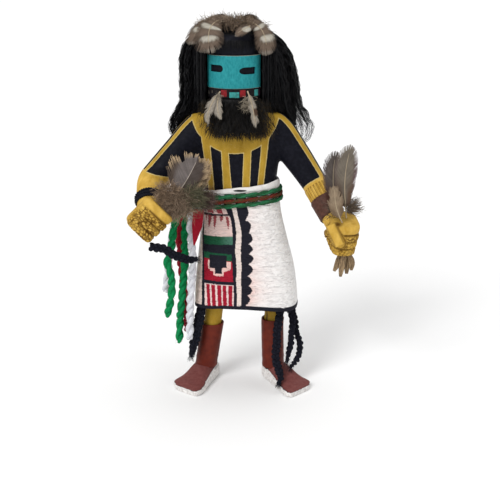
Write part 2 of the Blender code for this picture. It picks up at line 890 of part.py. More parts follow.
def body_cutters(grow):
    """The head, trunk and arms, grown by a clearance, to cut from what lies on them."""
    return [head("cut", grow), torso("cut", grow), arm("cut", "right", grow), arm("cut", "left", grow)]


def hair():
    mass = loft("hair", oval_stack(HAIR, HAIR_SIDES, 2.2), "hair")
    beard_space = loft("cut", oval_stack(BEARD, BEARD_SIDES, 2.0, GAP))
    return combine(mass, [face_window(), beard_space, *body_cutters(GAP)], "DIFFERENCE")


def beard():
    mass = loft("beard", oval_stack(BEARD, BEARD_SIDES), "hair")
    band_bottom = FACE_BOTTOM - GAP - CHIN_BAND_HEIGHT - GAP
    band_space = curved_plate(
        "cut", HEAD_RADIUS * 0.5, HEAD_RADIUS, band_bottom, CHIN_BAND_HEIGHT, FACE_HALF_ANGLE * 1.4, 8, None
    )
    return combine(mass, [band_space, *body_cutters(BEARD_GAP)], "DIFFERENCE")


def kilt_rings(inset):
    """The kilt's level rings at a distance inside its outer face. Its waist leans with the belt."""
    rings = []
    for number, (height, x, width, depth, squareness) in enumerate(KILT):
        oval = superellipse(width * UNIT - inset, depth * UNIT - inset, squareness, KILT_SIDES)
        share = max(0.0, 1.0 - number / 3.0)
        turn = Matrix.Rotation(KILT_TURN * number / (len(KILT) - 1), 4, "Z")
        ring = []
        for a, b in oval:
            level = height * UNIT + a * KILT_WAIST_TILT * share
            ring.append(turn @ Vector((a, b, 0)) + Vector((x * UNIT, 0, level)))
        rings.append(ring)
    return rings


def kilt():
    skirt = shell("kilt", kilt_rings(0.0), kilt_rings(KILT_THICKNESS), "white_leather")
    return combine(skirt, [torso("cut", GAP)], "DIFFERENCE")


def kilt_outline(height):
    """(middle x, half width, half depth, squareness) of the kilt's outside at a height in UNITs."""
    for upper, lower in zip(KILT, KILT[1:]):
        if height >= lower[0]:
            share = (upper[0] - height) / (upper[0] - lower[0])
            return [a + (b - a) * share for a, b in zip(upper[1:], lower[1:])]
    return list(KILT[-1][1:])


def belt():
    """Rows of yarn wound round the kilt's waist, one above the other."""
    for number, row in enumerate(BELT_ROWS):
        height = KILT[0][0] * UNIT - BELT_BELOW_WAIST + (1 - number) * (BELT_YARN + GAP)
        x, width, depth, squareness = kilt_outline(height / UNIT)
        out = BELT_YARN / 2 + GAP
        line = superellipse(width * UNIT + out, depth * UNIT + out, squareness, 24)
        rings = []
        for i, (a, b) in enumerate(line):
            c, d = line[(i + 1) % len(line)]
            e, f = line[i - 1]
            outward = Vector((d - f, e - c, 0)).normalized()
            centre = Vector((x * UNIT + a, b, height + a * KILT_WAIST_TILT))
            rings.append(
                [
                    centre
                    + outward * (math.cos(math.pi * k / 3) * BELT_YARN / 2)
                    + Vector((0, 0, math.sin(math.pi * k / 3) * BELT_YARN / 2))
                    for k in range(6)
                ]
            )

        def build(work, rings=rings):
            rows = [[work.verts.new(p) for p in ring] for ring in rings]
            for i, current in enumerate(rows):
                after = rows[(i + 1) % len(rows)]
                for k in range(6):
                    j = (k + 1) % 6
                    work.faces.new((current[k], current[j], after[j], after[k]))

        object_from("belt_" + row, build, "red_yarn" if "red" in row else "green_yarn")


def boot(side):
    """A leather shaft round the lower leg, its lower rim cut to the foot."""
    facts = LEGS[side]
    line = [scaled(p) for p in facts["line"]]
    top = facts["boot_top"] * UNIT
    samples = []
    for height in (BOOT_SHAFT_BOTTOM * 0.5, line[-2].z, top):
        for upper, lower in zip(line, line[1:]):
            if upper.z >= height >= lower.z:
                samples.append(upper.lerp(lower, (upper.z - height) / (upper.z - lower.z)))
                break
    inside = LEG_RADIUS + GAP

    def level_rings(radius):
        circle = superellipse(radius, radius, 2.0, BOOT_SIDES)
        return [[point + Vector((x, y, 0)) for x, y in circle] for point in samples]

    name = "boot_shaft_" + side
    shaft = shell(name, level_rings(inside + BOOT_LEATHER), level_rings(inside), "brown_leather")
    return combine(shaft, [foot("cut", side, GAP)], "DIFFERENCE")


def cord_tube(name, route, diameter, slot):
    """A plain tube along a smooth curve through the route's points."""
    line = evenly(smooth_line([scaled(p) for p in route], 6), diameter * CORD_SPACING)
    data = bpy.data.curves.new(name, "CURVE")
    data.dimensions = "3D"
    data.bevel_depth = diameter / 2
    data.bevel_resolution = 2
    data.use_fill_caps = True
    spline = data.splines.new("POLY")
    spline.points.add(len(line) - 1)
    for point, at in zip(spline.points, line):
        point.co = (*at, 1.0)
    data.materials.append(material(slot))
    obj = bpy.data.objects.new(name, data)
    bpy.context.scene.collection.objects.link(obj)
    return obj


def feather_width(share, bare):
    """The vane's half width along the shaft, as a share of the widest."""
    if share < bare:
        return 0.0
    t = (share - bare) / (1.0 - bare)
    return max(0.0, math.sin(math.pi * min(1.0, 0.06 + 0.90 * t) ** 0.85)) ** 0.55


def feather(name, points, face, half_width, bare):
    """A thin curved blade: a round quill that widens into a flat vane."""
    line = smooth_line([scaled(p) for p in points], 6)
    length = sum((b - a).length for a, b in zip(line, line[1:]))
    line = evenly(line, length / FEATHER_STATIONS)
    frames = frames_along(line, face)
    rings = []
    for i, (point, (_, side, out)) in enumerate(zip(line, frames)):
        vane = half_width * UNIT * feather_width(i / (len(line) - 1), bare)
        half = max(QUILL_RADIUS, vane)
        edge = FEATHER_THICKNESS * 0.25
        cup = -0.10 * vane
        ring = []
        for across, height in (
            (-half, cup + edge),
            (0.0, FEATHER_THICKNESS / 2),
            (half, cup + edge),
            (half, cup - edge),
            (0.0, -FEATHER_THICKNESS / 2),
            (-half, cup - edge),
        ):
            ring.append(point + side * across + out * height)
        rings.append(ring)
    slot = "feather_pale" if name.startswith("chin") else "feather_brown"
    return loft(name, rings, slot)


def strip(name, points, half_width, thickness, slot, hint=(0, -1, 0)):
    """A narrow flat strip that tapers at both ends."""
    line = smooth_line([scaled(p) for p in points], 2)
    last = len(line) - 1
    rings = []
    for i, (point, (_, side, out)) in enumerate(zip(line, frames_along(line, hint))):
        half = half_width * (0.45 + 0.55 * math.sin(math.pi * min(1.0, 0.1 + 0.9 * i / last)))
        rings.append(
            [
                point + side * a * half + out * b * thickness / 2
                for a, b in ((-1, 0.5), (0, 1), (1, 0.5), (1, -0.5), (0, -1), (-1, -0.5))
            ]
        )
    return loft(name, rings, slot)


def clear_scene():
    for obj in list(bpy.data.objects):
        bpy.data.objects.remove(obj)


def move_to_origin():
    """Puts the middle of the doll's box over the origin."""
    for obj in bpy.context.scene.objects:
        obj.location += ORIGIN_SHIFT


def main():
    clear_scene()
    figure()
    mask_face()
    chin_band()
    hair()
    beard()
    kilt()
    belt()
    for side in ("right", "left"):
        boot(side)
    cuff_end = len(ARMS["left"]) - 1 - CUFF_BACK_FROM_HAND
    collar("bow_guard", "left", cuff_end - CUFF_LENGTH, cuff_end, CUFF_THICKNESS, "brown_leather")
    wrap = len(ARMS["right"]) - 1 - WRIST_YARN_BACK_FROM_HAND
    collar(
        "wrist_yarn",
        "right",
        wrap - WRIST_YARN_HALF_LENGTH,
        wrap + WRIST_YARN_HALF_LENGTH,
        WRIST_YARN_THICKNESS / 2,
        "black_yarn",
        2,
    )
    for name, route in HIP_YARNS.items():
        cord_tube("hip_yarn_" + name, route, HIP_YARN, name.split("_")[0] + "_yarn")
    for name, route in BRAIDS.items():
        cord_tube(name, route, BRAID, "black_yarn")
    for name, facts in FEATHERS.items():
        feather(name, *facts)
    for name, (route, half_width) in HUSK_STRIPS.items():
        strip(name, route, half_width * UNIT, HUSK_THICKNESS, "husk")
    strip("red_sash_end", RED_SASH, RED_SASH_WIDTH / 2, KILT_THICKNESS, "red_yarn")
    move_to_origin()


main()
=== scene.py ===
"""Looks of the standing kachina doll: painted wood, leather, hair, feathers and yarn.

Lengths are in millimetres in the frame that the tables were drawn in, and mesh_object moves them
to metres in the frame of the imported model. The doll faces -Y, and right and left are its own sides.
"""

import json
import math

import bpy
import numpy as np
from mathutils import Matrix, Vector, noise

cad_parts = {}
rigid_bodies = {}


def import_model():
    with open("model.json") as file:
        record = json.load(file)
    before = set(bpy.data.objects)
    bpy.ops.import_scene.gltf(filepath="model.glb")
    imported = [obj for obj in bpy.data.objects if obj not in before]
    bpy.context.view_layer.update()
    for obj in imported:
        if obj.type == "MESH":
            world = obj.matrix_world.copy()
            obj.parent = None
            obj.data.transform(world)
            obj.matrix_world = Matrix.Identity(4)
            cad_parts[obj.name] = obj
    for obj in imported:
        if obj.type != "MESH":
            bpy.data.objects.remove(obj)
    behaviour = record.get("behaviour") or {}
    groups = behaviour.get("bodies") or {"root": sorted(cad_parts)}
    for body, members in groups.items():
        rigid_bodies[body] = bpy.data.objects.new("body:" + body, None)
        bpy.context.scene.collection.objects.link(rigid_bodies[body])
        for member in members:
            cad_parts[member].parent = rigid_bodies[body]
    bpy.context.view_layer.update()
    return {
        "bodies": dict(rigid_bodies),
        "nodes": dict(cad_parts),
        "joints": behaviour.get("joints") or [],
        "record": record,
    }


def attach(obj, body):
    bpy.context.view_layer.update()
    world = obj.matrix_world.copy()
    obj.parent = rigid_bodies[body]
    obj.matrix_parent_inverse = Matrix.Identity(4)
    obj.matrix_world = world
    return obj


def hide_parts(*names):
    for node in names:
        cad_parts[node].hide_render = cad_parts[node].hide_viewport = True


MM = 0.001
SHIFT = np.array([-3.55, 8.0, 0.0])
GAP = 0.4

HEAD_RADIUS = 21.6
HEAD_BOTTOM = 231.0
HEAD_TOP = 286.5
HEAD_AXIS = np.array([-3.4, 0.0, 0.0])
FACE_TURN = math.radians(-2.0)
FACE_HALF_ANGLE = math.radians(63.0)
FACE_BOTTOM = 244.6
FACE_HEIGHT = 25.2
FACE_THICKNESS = 1.3
EYE_HEIGHT = 5.4
EYES = (
    # angle, height above the rim, length, which way is outwards, how far the nose end is drawn out
    (-38.0, 15.2, 13.0, -1, 1.0),
    (27.0, 13.6, 14.3, 1, 1.8),
)
CHIN_BAND_HEIGHT = 7.2
CHIN_BAND_THICKNESS = 0.9

TORSO = (
    (99, 0.5, 0.0, 23.0, 12.5),
    (125, 0.6, 0.0, 26.5, 14.0),
    (150, 0.8, 0.0, 27.6, 14.8),
    (166, 0.8, 0.0, 28.4, 15.2),
    (182, 0.6, 0.0, 30.6, 16.2),
    (200, 0.0, 0.0, 34.5, 16.8),
    (213, -1.0, 0.4, 35.0, 16.0),
    (222, -2.0, 0.8, 29.5, 13.8),
    (228.5, -3.0, 1.0, 19.0, 11.5),
    (235, -3.4, 1.0, 13.0, 9.5),
)
TORSO_SQUARENESS = 2.3
ARMS = {
    "right": (
        (-20.0, 3.0, 216.0, 11.5),
        (-32.0, 2.0, 209.0, 13.2),
        (-49.0, -1.0, 191.0, 12.4),
        (-62.0, -4.5, 177.0, 11.9),
        (-68.3, -10.0, 170.0, 11.6),
        (-69.8, -19.0, 164.5, 10.6),
        (-69.6, -28.0, 159.0, 9.8),
        (-69.2, -37.0, 153.0, 9.4),
    ),
    "left": (
        (17.0, 3.0, 216.0, 11.5),
        (29.5, 2.0, 209.0, 13.2),
        (43.0, -1.0, 191.5, 12.0),
        (52.0, -4.0, 179.0, 11.0),
        (59.2, -8.5, 168.5, 10.2),
        (65.2, -14.5, 158.5, 9.6),
        (70.8, -21.5, 149.0, 9.2),
        (76.0, -29.0, 140.5, 8.8),
    ),
}
FISTS = {
    "right": {
        "centre": (-68.6, -42.5, 147.0),
        "stack": (0.7, 0.1, 0.7),
        "finger": (0.7, -0.05, -0.71),
        "back": -1.0,
    },
    "left": {
        "centre": (80.8, -36.5, 134.0),
        "stack": (0.1, -0.32, 0.94),
        "finger": (0.22, -0.97, -0.3),
        "back": 1.0,
    },
}
# the left thumb lies across the front of its fist: both ends, half width and half depth
LEFT_THUMB = ((69.8, -48.2, 144.8), (77.4, -50.6, 128.8), 4.1, 3.2)
LEFT_GRIP = (75.6, -47.6, 144.6)
FIST_LENGTH = 26.5
FIST_WIDTH = 26.2
FIST_DEPTH = 21.5
FINGER_COUNT = 4
LEGS = {
    "right": {
        "line": (
            (-14.0, 0, 114), (-17.5, 0, 88), (-21.0, 0, 60), (-22.6, 0.6, 47), (-27.6, 2.0, 15),
            (-28.4, 2.4, 5),
        ),
        "boot_top": 48.6,
        "heel": (-15.0, 12.4),
        "turn_out": 18.0,
        "side": -1.0,
    },
    "left": {
        "line": (
            (13.0, 0, 114), (20.5, 0, 88), (27.4, 0, 62), (26.9, 0.6, 47), (27.6, 1.0, 15),
            (27.8, 1.2, 5),
        ),
        "boot_top": 52.4,
        "heel": (15.8, 7.4),
        "turn_out": 24.0,
        "side": 1.0,
    },
}
THIGH_RADIUS = 9.5
LEG_RADIUS = 7.3
BOOT_LEATHER = 1.4
FOOT_LENGTH = 56.0
FOOT_TOE_SLANT = 0.45
FOOT = (
    (0.00, 4.5, 15.5, 8.2, 11.5),
    (0.06, 1.2, 19.4, 8.8, 13.5),
    (0.20, 0.0, 21.4, 8.4, 14.5),
    (0.40, 0.2, 22.8, 6.6, 13.6),
    (0.60, -0.2, 24.8, 5.2, 10.4),
    (0.80, -1.0, 27.2, 4.4, 7.4),
    (0.94, -0.8, 27.6, 4.2, 6.2),
    (1.00, 1.0, 25.2, 3.8, 5.2),
)
HAIR = (
    (178, 2.0, 23.0, 26.0, 4.5),
    (189, 2.0, 22.0, 41.5, 8.4),
    (199, 2.4, 20.5, 53.5, 11.0),
    (209, 1.4, 18.8, 56.2, 14.0),
    (220, 0.6, 16.0, 52.2, 18.5),
    (230, 0.8, 12.5, 47.4, 23.5),
    (248, -0.1, 10.0, 45.9, 25.9),
    (265, -2.2, 9.0, 43.6, 25.6),
    (275, -3.4, 8.5, 39.2, 24.2),
    (283, -4.4, 8.0, 31.8, 20.5),
    (288.5, -4.6, 7.5, 22.0, 14.5),
    (291, -4.6, 7.0, 9.0, 6.5),
)
HAIR_SQUARENESS = 2.2
FACE_WINDOW_BACK = -4.0
BEARD_SQUARENESS = 2.0
BEARD = (
    (198, 1.0, -17.5, 7.0, 4.0),
    (204, 0.5, -18.5, 16.0, 8.0),
    (213, 0.0, -19.0, 23.0, 11.0),
    (223, -1.5, -18.5, 25.0, 12.0),
    (231, -3.0, -17.0, 23.0, 11.8),
    (236.4, -3.4, -15.5, 21.0, 11.6),
)
KILT = (
    (162.0, 0.9, 30.4, 17.2, 2.3),
    (150.0, 1.3, 31.2, 18.0, 2.4),
    (139.0, 1.9, 32.2, 19.2, 2.5),
    (119.0, 3.5, 35.6, 21.6, 2.7),
    (101.0, 4.8, 38.8, 24.0, 2.9),
    (84.0, 5.3, 40.8, 25.4, 3.1),
    (65.0, 5.6, 41.8, 26.0, 3.2),
)
KILT_THICKNESS = 1.5
# how far the waist rises for each millimetre sideways from its middle, fading out over the kilt's upper
# rows
KILT_WAIST_TILT = 0.095
KILT_TURN = math.radians(-7.0)
BELT_YARN = 3.4
BELT_BELOW_WAIST = 5.8

HIP_YARN = 6.2
HIP_YARNS = {
    "green_1": (
        (-41.0, -17.5, 154), (-46.0, -17.0, 148), (-50.5, -15.5, 139), (-53.0, -14, 127),
        (-54.4, -13, 116), (-57.8, -13, 104), (-55.6, -12, 95), (-54.4, -12, 84), (-55.8, -12, 72),
        (-58.8, -12, 58),
    ),
    "green_2": (
        (-35.0, -11, 153), (-40.0, -10.6, 145), (-43.0, -10, 136), (-43.6, -10, 120), (-43.9, -10, 104),
        (-45.4, -9.5, 88), (-46.9, -9, 72), (-48.6, -8.5, 54), (-49.6, -8.5, 34.5),
    ),
    "red_1": (
        (-37.8, -3.8, 152.5), (-42.6, -3.2, 145), (-47.0, -2.4, 135), (-48.3, -2.2, 120),
        (-47.6, -2.0, 104), (-46.0, -1.8, 84), (-44.2, -1.4, 64), (-43.4, -1.0, 42),
    ),
    "white_1": (
        (-33.0, -19.4, 154), (-37.0, -19.2, 147), (-38.6, -18.2, 137), (-37.8, -17.6, 120),
        (-37.2, -17.4, 104), (-38.8, -17, 84), (-39.8, -16.6, 64), (-40.6, -16.4, 40),
    ),
    "white_2": (
        (-38.0, 4.2, 152), (-44.4, 4.4, 146), (-50.0, 4.2, 136), (-55.0, 4, 120), (-57.5, 4, 104),
        (-58.8, 4, 90), (-61.2, 4, 74),
    ),
}
BRAID = 5.4
BRAIDS = {
    "held_braid": (
        (-67.6, -47.2, 127.2), (-65.6, -46.8, 126.4), (-61.5, -45.8, 125.4), (-56.4, -44.0, 123.4),
        (-50.2, -41.6, 118.6), (-43.7, -38, 114.7), (-38.4, -34, 112.7), (-33.1, -30, 111.9),
    ),
    "knee_braid_right_1": (
        (-31.0, -3, 66), (-33.4, -4.5, 56), (-36.0, -6.0, 44), (-38.0, -6.8, 32), (-40.2, -7, 21),
    ),
    "knee_braid_right_2": (
        (-29.8, -9.8, 66), (-32.2, -11.4, 56), (-34.4, -12.4, 45), (-36.6, -12.8, 35),
        (-38.2, -13.0, 26),
    ),
    "knee_braid_left_1": (
        (33.8, -11.4, 65), (31.4, -13.6, 54), (30.4, -14.8, 42.6), (29.8, -15.4, 31.0),
        (29.6, -18.4, 20.8), (32.4, -23.6, 15.2), (33.2, -29.0, 11.2), (31.4, -32.6, 7.6),
    ),
    "knee_braid_left_2": (
        (40.0, -5.0, 65), (43.2, -6.6, 52), (42.2, -8.0, 40), (41.8, -9.0, 32), (40.0, -10.0, 25),
        (38.8, -12.4, 19.0),
    ),
    "knee_braid_left_3": (
        (41.8, 2.6, 65), (45.2, 1.2, 52), (46.6, 0.2, 41), (49.6, -1.0, 31), (49.2, -3.4, 22.6),
        (45.8, -8.4, 17.6), (41.6, -15.0, 15.0),
    ),
}
THIN_BRAIDS = ("knee_braid_left_2", "knee_braid_left_3")
FEATHERS = {
    # the way it faces, then each blade: its route, half width and bare share of the shaft
    "crest_feather_right": (
        (-0.2, -1, 0.5),
        (
            (
                (
                    (-8, -1, 295.0), (-16.4, -8.0, 294.6), (-21.8, -15.2, 289.6), (-22.8, -22.2, 281.6),
                    (-21.8, -25.2, 274.6),
                ),
                12.5, 0.1,
            ),
        ),
    ),
    "crest_feather_right_under": (
        (-0.5, -0.8, 0.6),
        ((((-5, 8, 295.6), (-18, 3.0, 295.6), (-30, -7.0, 289.0), (-36.0, -15.5, 279)), 8.5, 0.12),),
    ),
    "crest_feather_left": (
        (0.2, -1, 0.5),
        (
            (
                (
                    (1, 1, 293.0), (9.2, -7.0, 293.6), (16.4, -14.0, 289.4), (20.0, -20.2, 282.6),
                    (21.2, -22.7, 272.6),
                ),
                8.6, 0.1,
            ),
        ),
    ),
    "crest_feather_middle": (
        (0.1, -1, 0.9),
        ((((4.0, -7, 290.2), (8.6, -16.6, 291.4), (3.6, -22.0, 289.6), (-2.8, -24.2, 285.8)), 4.6, 0.3),),
    ),
    "crest_feather_back_right": (
        (-0.2, 1, 0.5),
        ((((-7, 10, 295.4), (-14, 22.0, 295.0), (-20, 32.0, 284), (-23, 37.0, 270)), 11.0, 0.1),),
    ),
    "crest_feather_back_left": (
        (0.2, 1, 0.5),
        ((((1, 10, 296.0), (8, 21.0, 295.0), (13, 31.0, 285), (16, 37.5, 271)), 11.0, 0.1),),
    ),
    "chin_feather_right": (
        (-0.2, -1, 0.1),
        (
            (
                (
                    (-14.1, -26.0, 243.2), (-18.7, -30.0, 237.9), (-21.8, -33.0, 231.9),
                    (-23.9, -34.4, 225.0), (-23.0, -35.0, 218.3),
                ),
                3.4, 0.12,
            ),
            (
                (
                    (-14.6, -27.0, 241.5), (-16.0, -30.5, 236.0), (-15.8, -33.0, 229.6),
                    (-12.9, -34.6, 222.9),
                ),
                4.0, 0.1,
            ),
        ),
    ),
    "chin_feather_left": (
        (0.2, -1, 0.1),
        (
            (
                (
                    (6.6, -26.0, 243.5), (8.8, -30.0, 237.9), (10.9, -33.0, 230.3),
                    (12.2, -34.4, 222.7), (12.8, -35.0, 216.9),
                ),
                3.6, 0.12,
            ),
        ),
    ),
    "hand_feather_right": (
        (0.1, -1, 0.2),
        (
            (
                (
                    (-58.0, -42.0, 158.2), (-52, -40.0, 161.6), (-46.0, -37.6, 168.0),
                    (-38.3, -34.0, 179.5), (-31.0, -30.0, 193.5),
                ),
                18.5, 0.24,
            ),
        ),
    ),
    "hand_feather_right_under": (
        (0.1, -1, 0.1),
        (
            (
                ((-44, -27.0, 157), (-35.5, -27.6, 165), (-29.4, -26.4, 178.0), (-24.8, -24.6, 190.5)),
                8.0, 0.2,
            ),
        ),
    ),
    "hand_feather_left_tall": (
        (-0.1, -1, 0.15),
        (
            (
                (
                    (82.4, -43.4, 148.6), (81.2, -45.0, 160), (80.6, -43.6, 176), (82.0, -40.6, 190.0),
                    (85.2, -37.0, 203.0),
                ),
                9.0, 0.16,
            ),
        ),
    ),
    "hand_feather_left_round": (
        (0.25, -1, 0.1),
        (
            (
                (
                    (77.8, -42.0, 147.5), (75.0, -41.2, 156), (72.6, -38.2, 168.0),
                    (72.4, -35.0, 184.0), (74.2, -32.0, 197.0),
                ),
                8.5, 0.16,
            ),
        ),
    ),
    "hand_feather_left_short": (
        (0.0, -1, 0.2),
        (
            (
                ((79.0, -47.4, 146), (76.4, -49.6, 152), (73.4, -51.0, 162.0), (72.0, -50.4, 176.0)),
                6.5, 0.16,
            ),
        ),
    ),
}
HUSK_STRIPS = {
    "husk_strip_1": (
        ((80.6, -33.4, 119.4), (78.1, -34.4, 112.5), (76.4, -34.8, 108.0), (74.4, -34.2, 103.4)), 2.6,
    ),
    "husk_strip_2": (
        ((81.8, -37.8, 117.6), (80.6, -38.0, 111.6), (79.8, -38.2, 106.0), (79.2, -37.8, 100.0)), 2.4,
    ),
    "husk_strip_3": (
        ((84.6, -33.4, 119.4), (84.8, -34.0, 112.0), (84.4, -34.6, 107.0), (84.2, -34.8, 101.4)), 2.6,
    ),
    "husk_strip_4": (
        ((86.0, -37.8, 117.4), (87.4, -37.8, 113.6), (88.0, -37.6, 109.6), (87.6, -37.2, 105.0)), 2.4,
    ),
}
RED_SASH = ((-31.6, -24.4, 151), (-32.3, -24.6, 143), (-33.6, -24.4, 134), (-35.6, -24.2, 121.5))
RED_SASH_WIDTH = 8.6


# Geometry helpers

def unit(vectors):
    return vectors / np.maximum(np.linalg.norm(vectors, axis=-1, keepdims=True), 1e-12)


def spline(points, steps):
    """A Catmull-Rom curve through rows of numbers, with this many steps between neighbours."""
    rows = np.asarray(points, float)
    rows = np.vstack([2 * rows[0] - rows[1], rows, 2 * rows[-1] - rows[-2]])
    t = np.linspace(0, 1, steps, endpoint=False)[:, None]
    parts = []
    for a, b, c, d in zip(rows, rows[1:], rows[2:], rows[3:]):
        square, cube = 2 * a - 5 * b + 4 * c - d, 3 * b - a - 3 * c + d
        parts.append(0.5 * (2 * b + (c - a) * t + square * t**2 + cube * t**3))
    return np.vstack([*parts, rows[-2][None]])


def lengths_along(line):
    return np.concatenate([[0.0], np.cumsum(np.linalg.norm(np.diff(line[:, :3], axis=0), axis=1))])


def evenly(line, count):
    """This many rows read from a line at one spacing."""
    at = lengths_along(line)
    want = np.linspace(0, at[-1], count)
    return np.stack([np.interp(want, at, line[:, k]) for k in range(line.shape[1])], 1)


def frames_along(line, hint):
    """(tangent, side, face) along a line. The face direction stays near hint."""
    tangent = unit(np.gradient(line, axis=0))
    side = unit(np.cross(tangent, np.asarray(hint, float)))
    return tangent, side, np.cross(side, tangent)


def rolling_frames(line):
    """(side, up) along a line, turning no more than the line does."""
    tangent = unit(np.gradient(line, axis=0))
    start = np.cross(tangent[0], (0.0, 0.0, 1.0))
    if np.linalg.norm(start) < 0.2:
        start = np.cross(tangent[0], (0.0, 1.0, 0.0))
    side = np.empty_like(line)
    for i, t in enumerate(tangent):
        start = start - t * start.dot(t)
        start = start / np.linalg.norm(start)
        side[i] = start
    return side, np.cross(tangent, side)


def circle(sides):
    """Evenly spaced angles round a full turn."""
    return np.linspace(0, 2 * math.pi, sides, endpoint=False)


def ring_steps(sides):
    """Each place round a ring, and the place after it."""
    around = np.arange(sides)
    return around, (around + 1) % sides


def level_ring(centre, angle, radius, height):
    x, y = centre[0] + np.cos(angle) * radius, centre[1] + np.sin(angle) * radius
    return np.stack([x, y, np.full(len(angle), height)], 1)


def grid_faces(rows, columns, wrap):
    """Quads of a grid of points, its columns joined round when wrap is true."""
    start = np.arange(rows - 1)[:, None] * columns
    here, after = ring_steps(columns)
    if not wrap:
        here, after = here[:-1], after[:-1]
    corners = [start + here, start + after, start + columns + after, start + columns + here]
    return np.stack(corners, -1).reshape(-1, 4)


def closing_quads(count, sides):
    """The quads that join a closed tube's last ring to its first."""
    around, after = ring_steps(sides)
    last = (count - 1) * sides
    return np.stack([last + around, last + after, after, around], 1)


def end_fans(count, sides):
    """Triangles from the two points that follow the rings, the middles of the first and last ring."""
    around, after = ring_steps(sides)
    last = (count - 1) * sides
    start, end = count * sides, count * sides + 1
    return np.vstack([
        np.stack([np.full(sides, start), after, around], 1),
        np.stack([np.full(sides, end), last + around, last + after], 1),
    ])


def tube_points(line, radii, sides, frame):
    side, up = frame
    angle = circle(sides)[None, :, None]
    radii = np.broadcast_to(radii, len(line))[:, None, None]
    return line[:, None] + radii * (np.cos(angle) * side[:, None] + np.sin(angle) * up[:, None])


class Batch:
    """Points and faces gathered for one mesh, with a value of each field at every point."""

    def __init__(self):
        self.points, self.quads, self.tris, self.fields = [], [], [], {}
        self.count = 0

    def add(self, points, quads=None, tris=None, **fields):
        points = np.reshape(points, (-1, 3))
        self.points.append(points)
        if quads is not None:
            self.quads.append(np.asarray(quads) + self.count)
        if tris is not None:
            self.tris.append(np.asarray(tris) + self.count)
        for name, value in fields.items():
            value = np.asarray(value, float)
            shape = (len(points), 3) if name == "paint" else (len(points),)
            self.fields.setdefault(name, []).append(np.broadcast_to(value, shape))
        self.count += len(points)
        return self

    def tube(self, line, radii, sides, **fields):
        """A tube with both ends closed by fans."""
        rings = tube_points(line, radii, sides, rolling_frames(line)).reshape(-1, 3)
        full = {}
        for name, value in fields.items():
            value = np.asarray(value, float)
            if value.ndim and len(value) == len(line):
                spread = np.repeat(value, sides, axis=0)
                value = np.concatenate([spread, value[:1], value[-1:]])
            full[name] = value
        points = np.vstack([rings, line[:1], line[-1:]])
        return self.add(points, grid_faces(len(line), sides, True), end_fans(len(line), sides), **full)

    def rings(self, rings, **fields):
        """A closed solid through stacked rings of equally many points."""
        rings = np.asarray(rings)
        count, sides = rings.shape[:2]
        points = np.vstack([rings.reshape(-1, 3), rings[0].mean(0)[None], rings[-1].mean(0)[None]])
        return self.add(points, grid_faces(count, sides, True), end_fans(count, sides), **fields)

    def ribbons(self, lines, half_widths, normal, **fields):
        """Flat strips along many lines at once: lines is (strips, points, 3)."""
        lines = np.asarray(lines, float)
        strips, count = lines.shape[:2]
        tangent = unit(np.gradient(lines, axis=1))
        side = unit(np.cross(tangent, normal)) * np.broadcast_to(half_widths, (strips, count))[..., None]
        points = np.stack([lines - side, lines + side], 2)
        quads = grid_faces(count, 2, False)[None] + (np.arange(strips) * count * 2)[:, None, None]
        full = {}
        for name, value in fields.items():
            value = np.asarray(value, float)
            if name == "paint":
                full[name] = np.broadcast_to(value[:, :, None], (strips, count, 2, 3)).reshape(-1, 3)
            else:
                value = value[:, None] if value.ndim == 1 else value
                full[name] = np.broadcast_to(value[:, :, None], (strips, count, 2)).reshape(-1)
        return self.add(points, quads.reshape(-1, 4), **full)


def mesh_object(name, batch, material, smooth=True, sharp=None):
    """A mesh object in metres from a batch, with its fields as attributes of the points."""
    points = np.vstack(batch.points)
    mesh = bpy.data.meshes.new(name)
    mesh.vertices.add(len(points))
    mesh.vertices.foreach_set("co", ((points + SHIFT) * MM).astype(np.float32).ravel())
    groups = [np.vstack(g) for g in (batch.quads, batch.tris) if g]
    loops = np.concatenate([g.ravel() for g in groups]).astype(np.int32)
    sizes = np.concatenate([np.full(len(g), g.shape[1]) for g in groups]).astype(np.int32)
    mesh.loops.add(len(loops))
    mesh.loops.foreach_set("vertex_index", loops)
    mesh.polygons.add(len(sizes))
    mesh.polygons.foreach_set("loop_start", np.concatenate([[0], np.cumsum(sizes)[:-1]]).astype(np.int32))
    mesh.polygons.foreach_set("loop_total", sizes)
    mesh.update(calc_edges=True)
    mesh.validate()
    mesh.polygons.foreach_set("use_smooth", np.full(len(mesh.polygons), smooth))
    if sharp:
        mesh.set_sharp_from_angle(angle=math.radians(sharp))
    for field, values in batch.fields.items():
        set_field(mesh, field, np.concatenate(values))
    mesh.materials.append(material)
    obj = bpy.data.objects.new(name, mesh)
    bpy.context.scene.collection.objects.link(obj)
    return obj


def set_field(mesh, field, values):
    if values.ndim == 1:
        mesh.attributes.new(field, "FLOAT", "POINT").data.foreach_set("value", values.astype(np.float32))
        return
    colours = np.ones((len(values), 4), np.float32)
    colours[:, :3] = values
    mesh.attributes.new(field, "FLOAT_COLOR", "POINT").data.foreach_set("color", colours.ravel())


def drawn_points(mesh):
    """A mesh's points in the drawing's millimetres."""
    flat = np.empty(len(mesh.vertices) * 3, np.float32)
    mesh.vertices.foreach_get("co", flat)
    return flat.reshape(-1, 3).astype(float) / MM - SHIFT


def set_drawn_points(mesh, points):
    mesh.vertices.foreach_set("co", ((points + SHIFT) * MM).astype(np.float32).ravel())
    mesh.update()


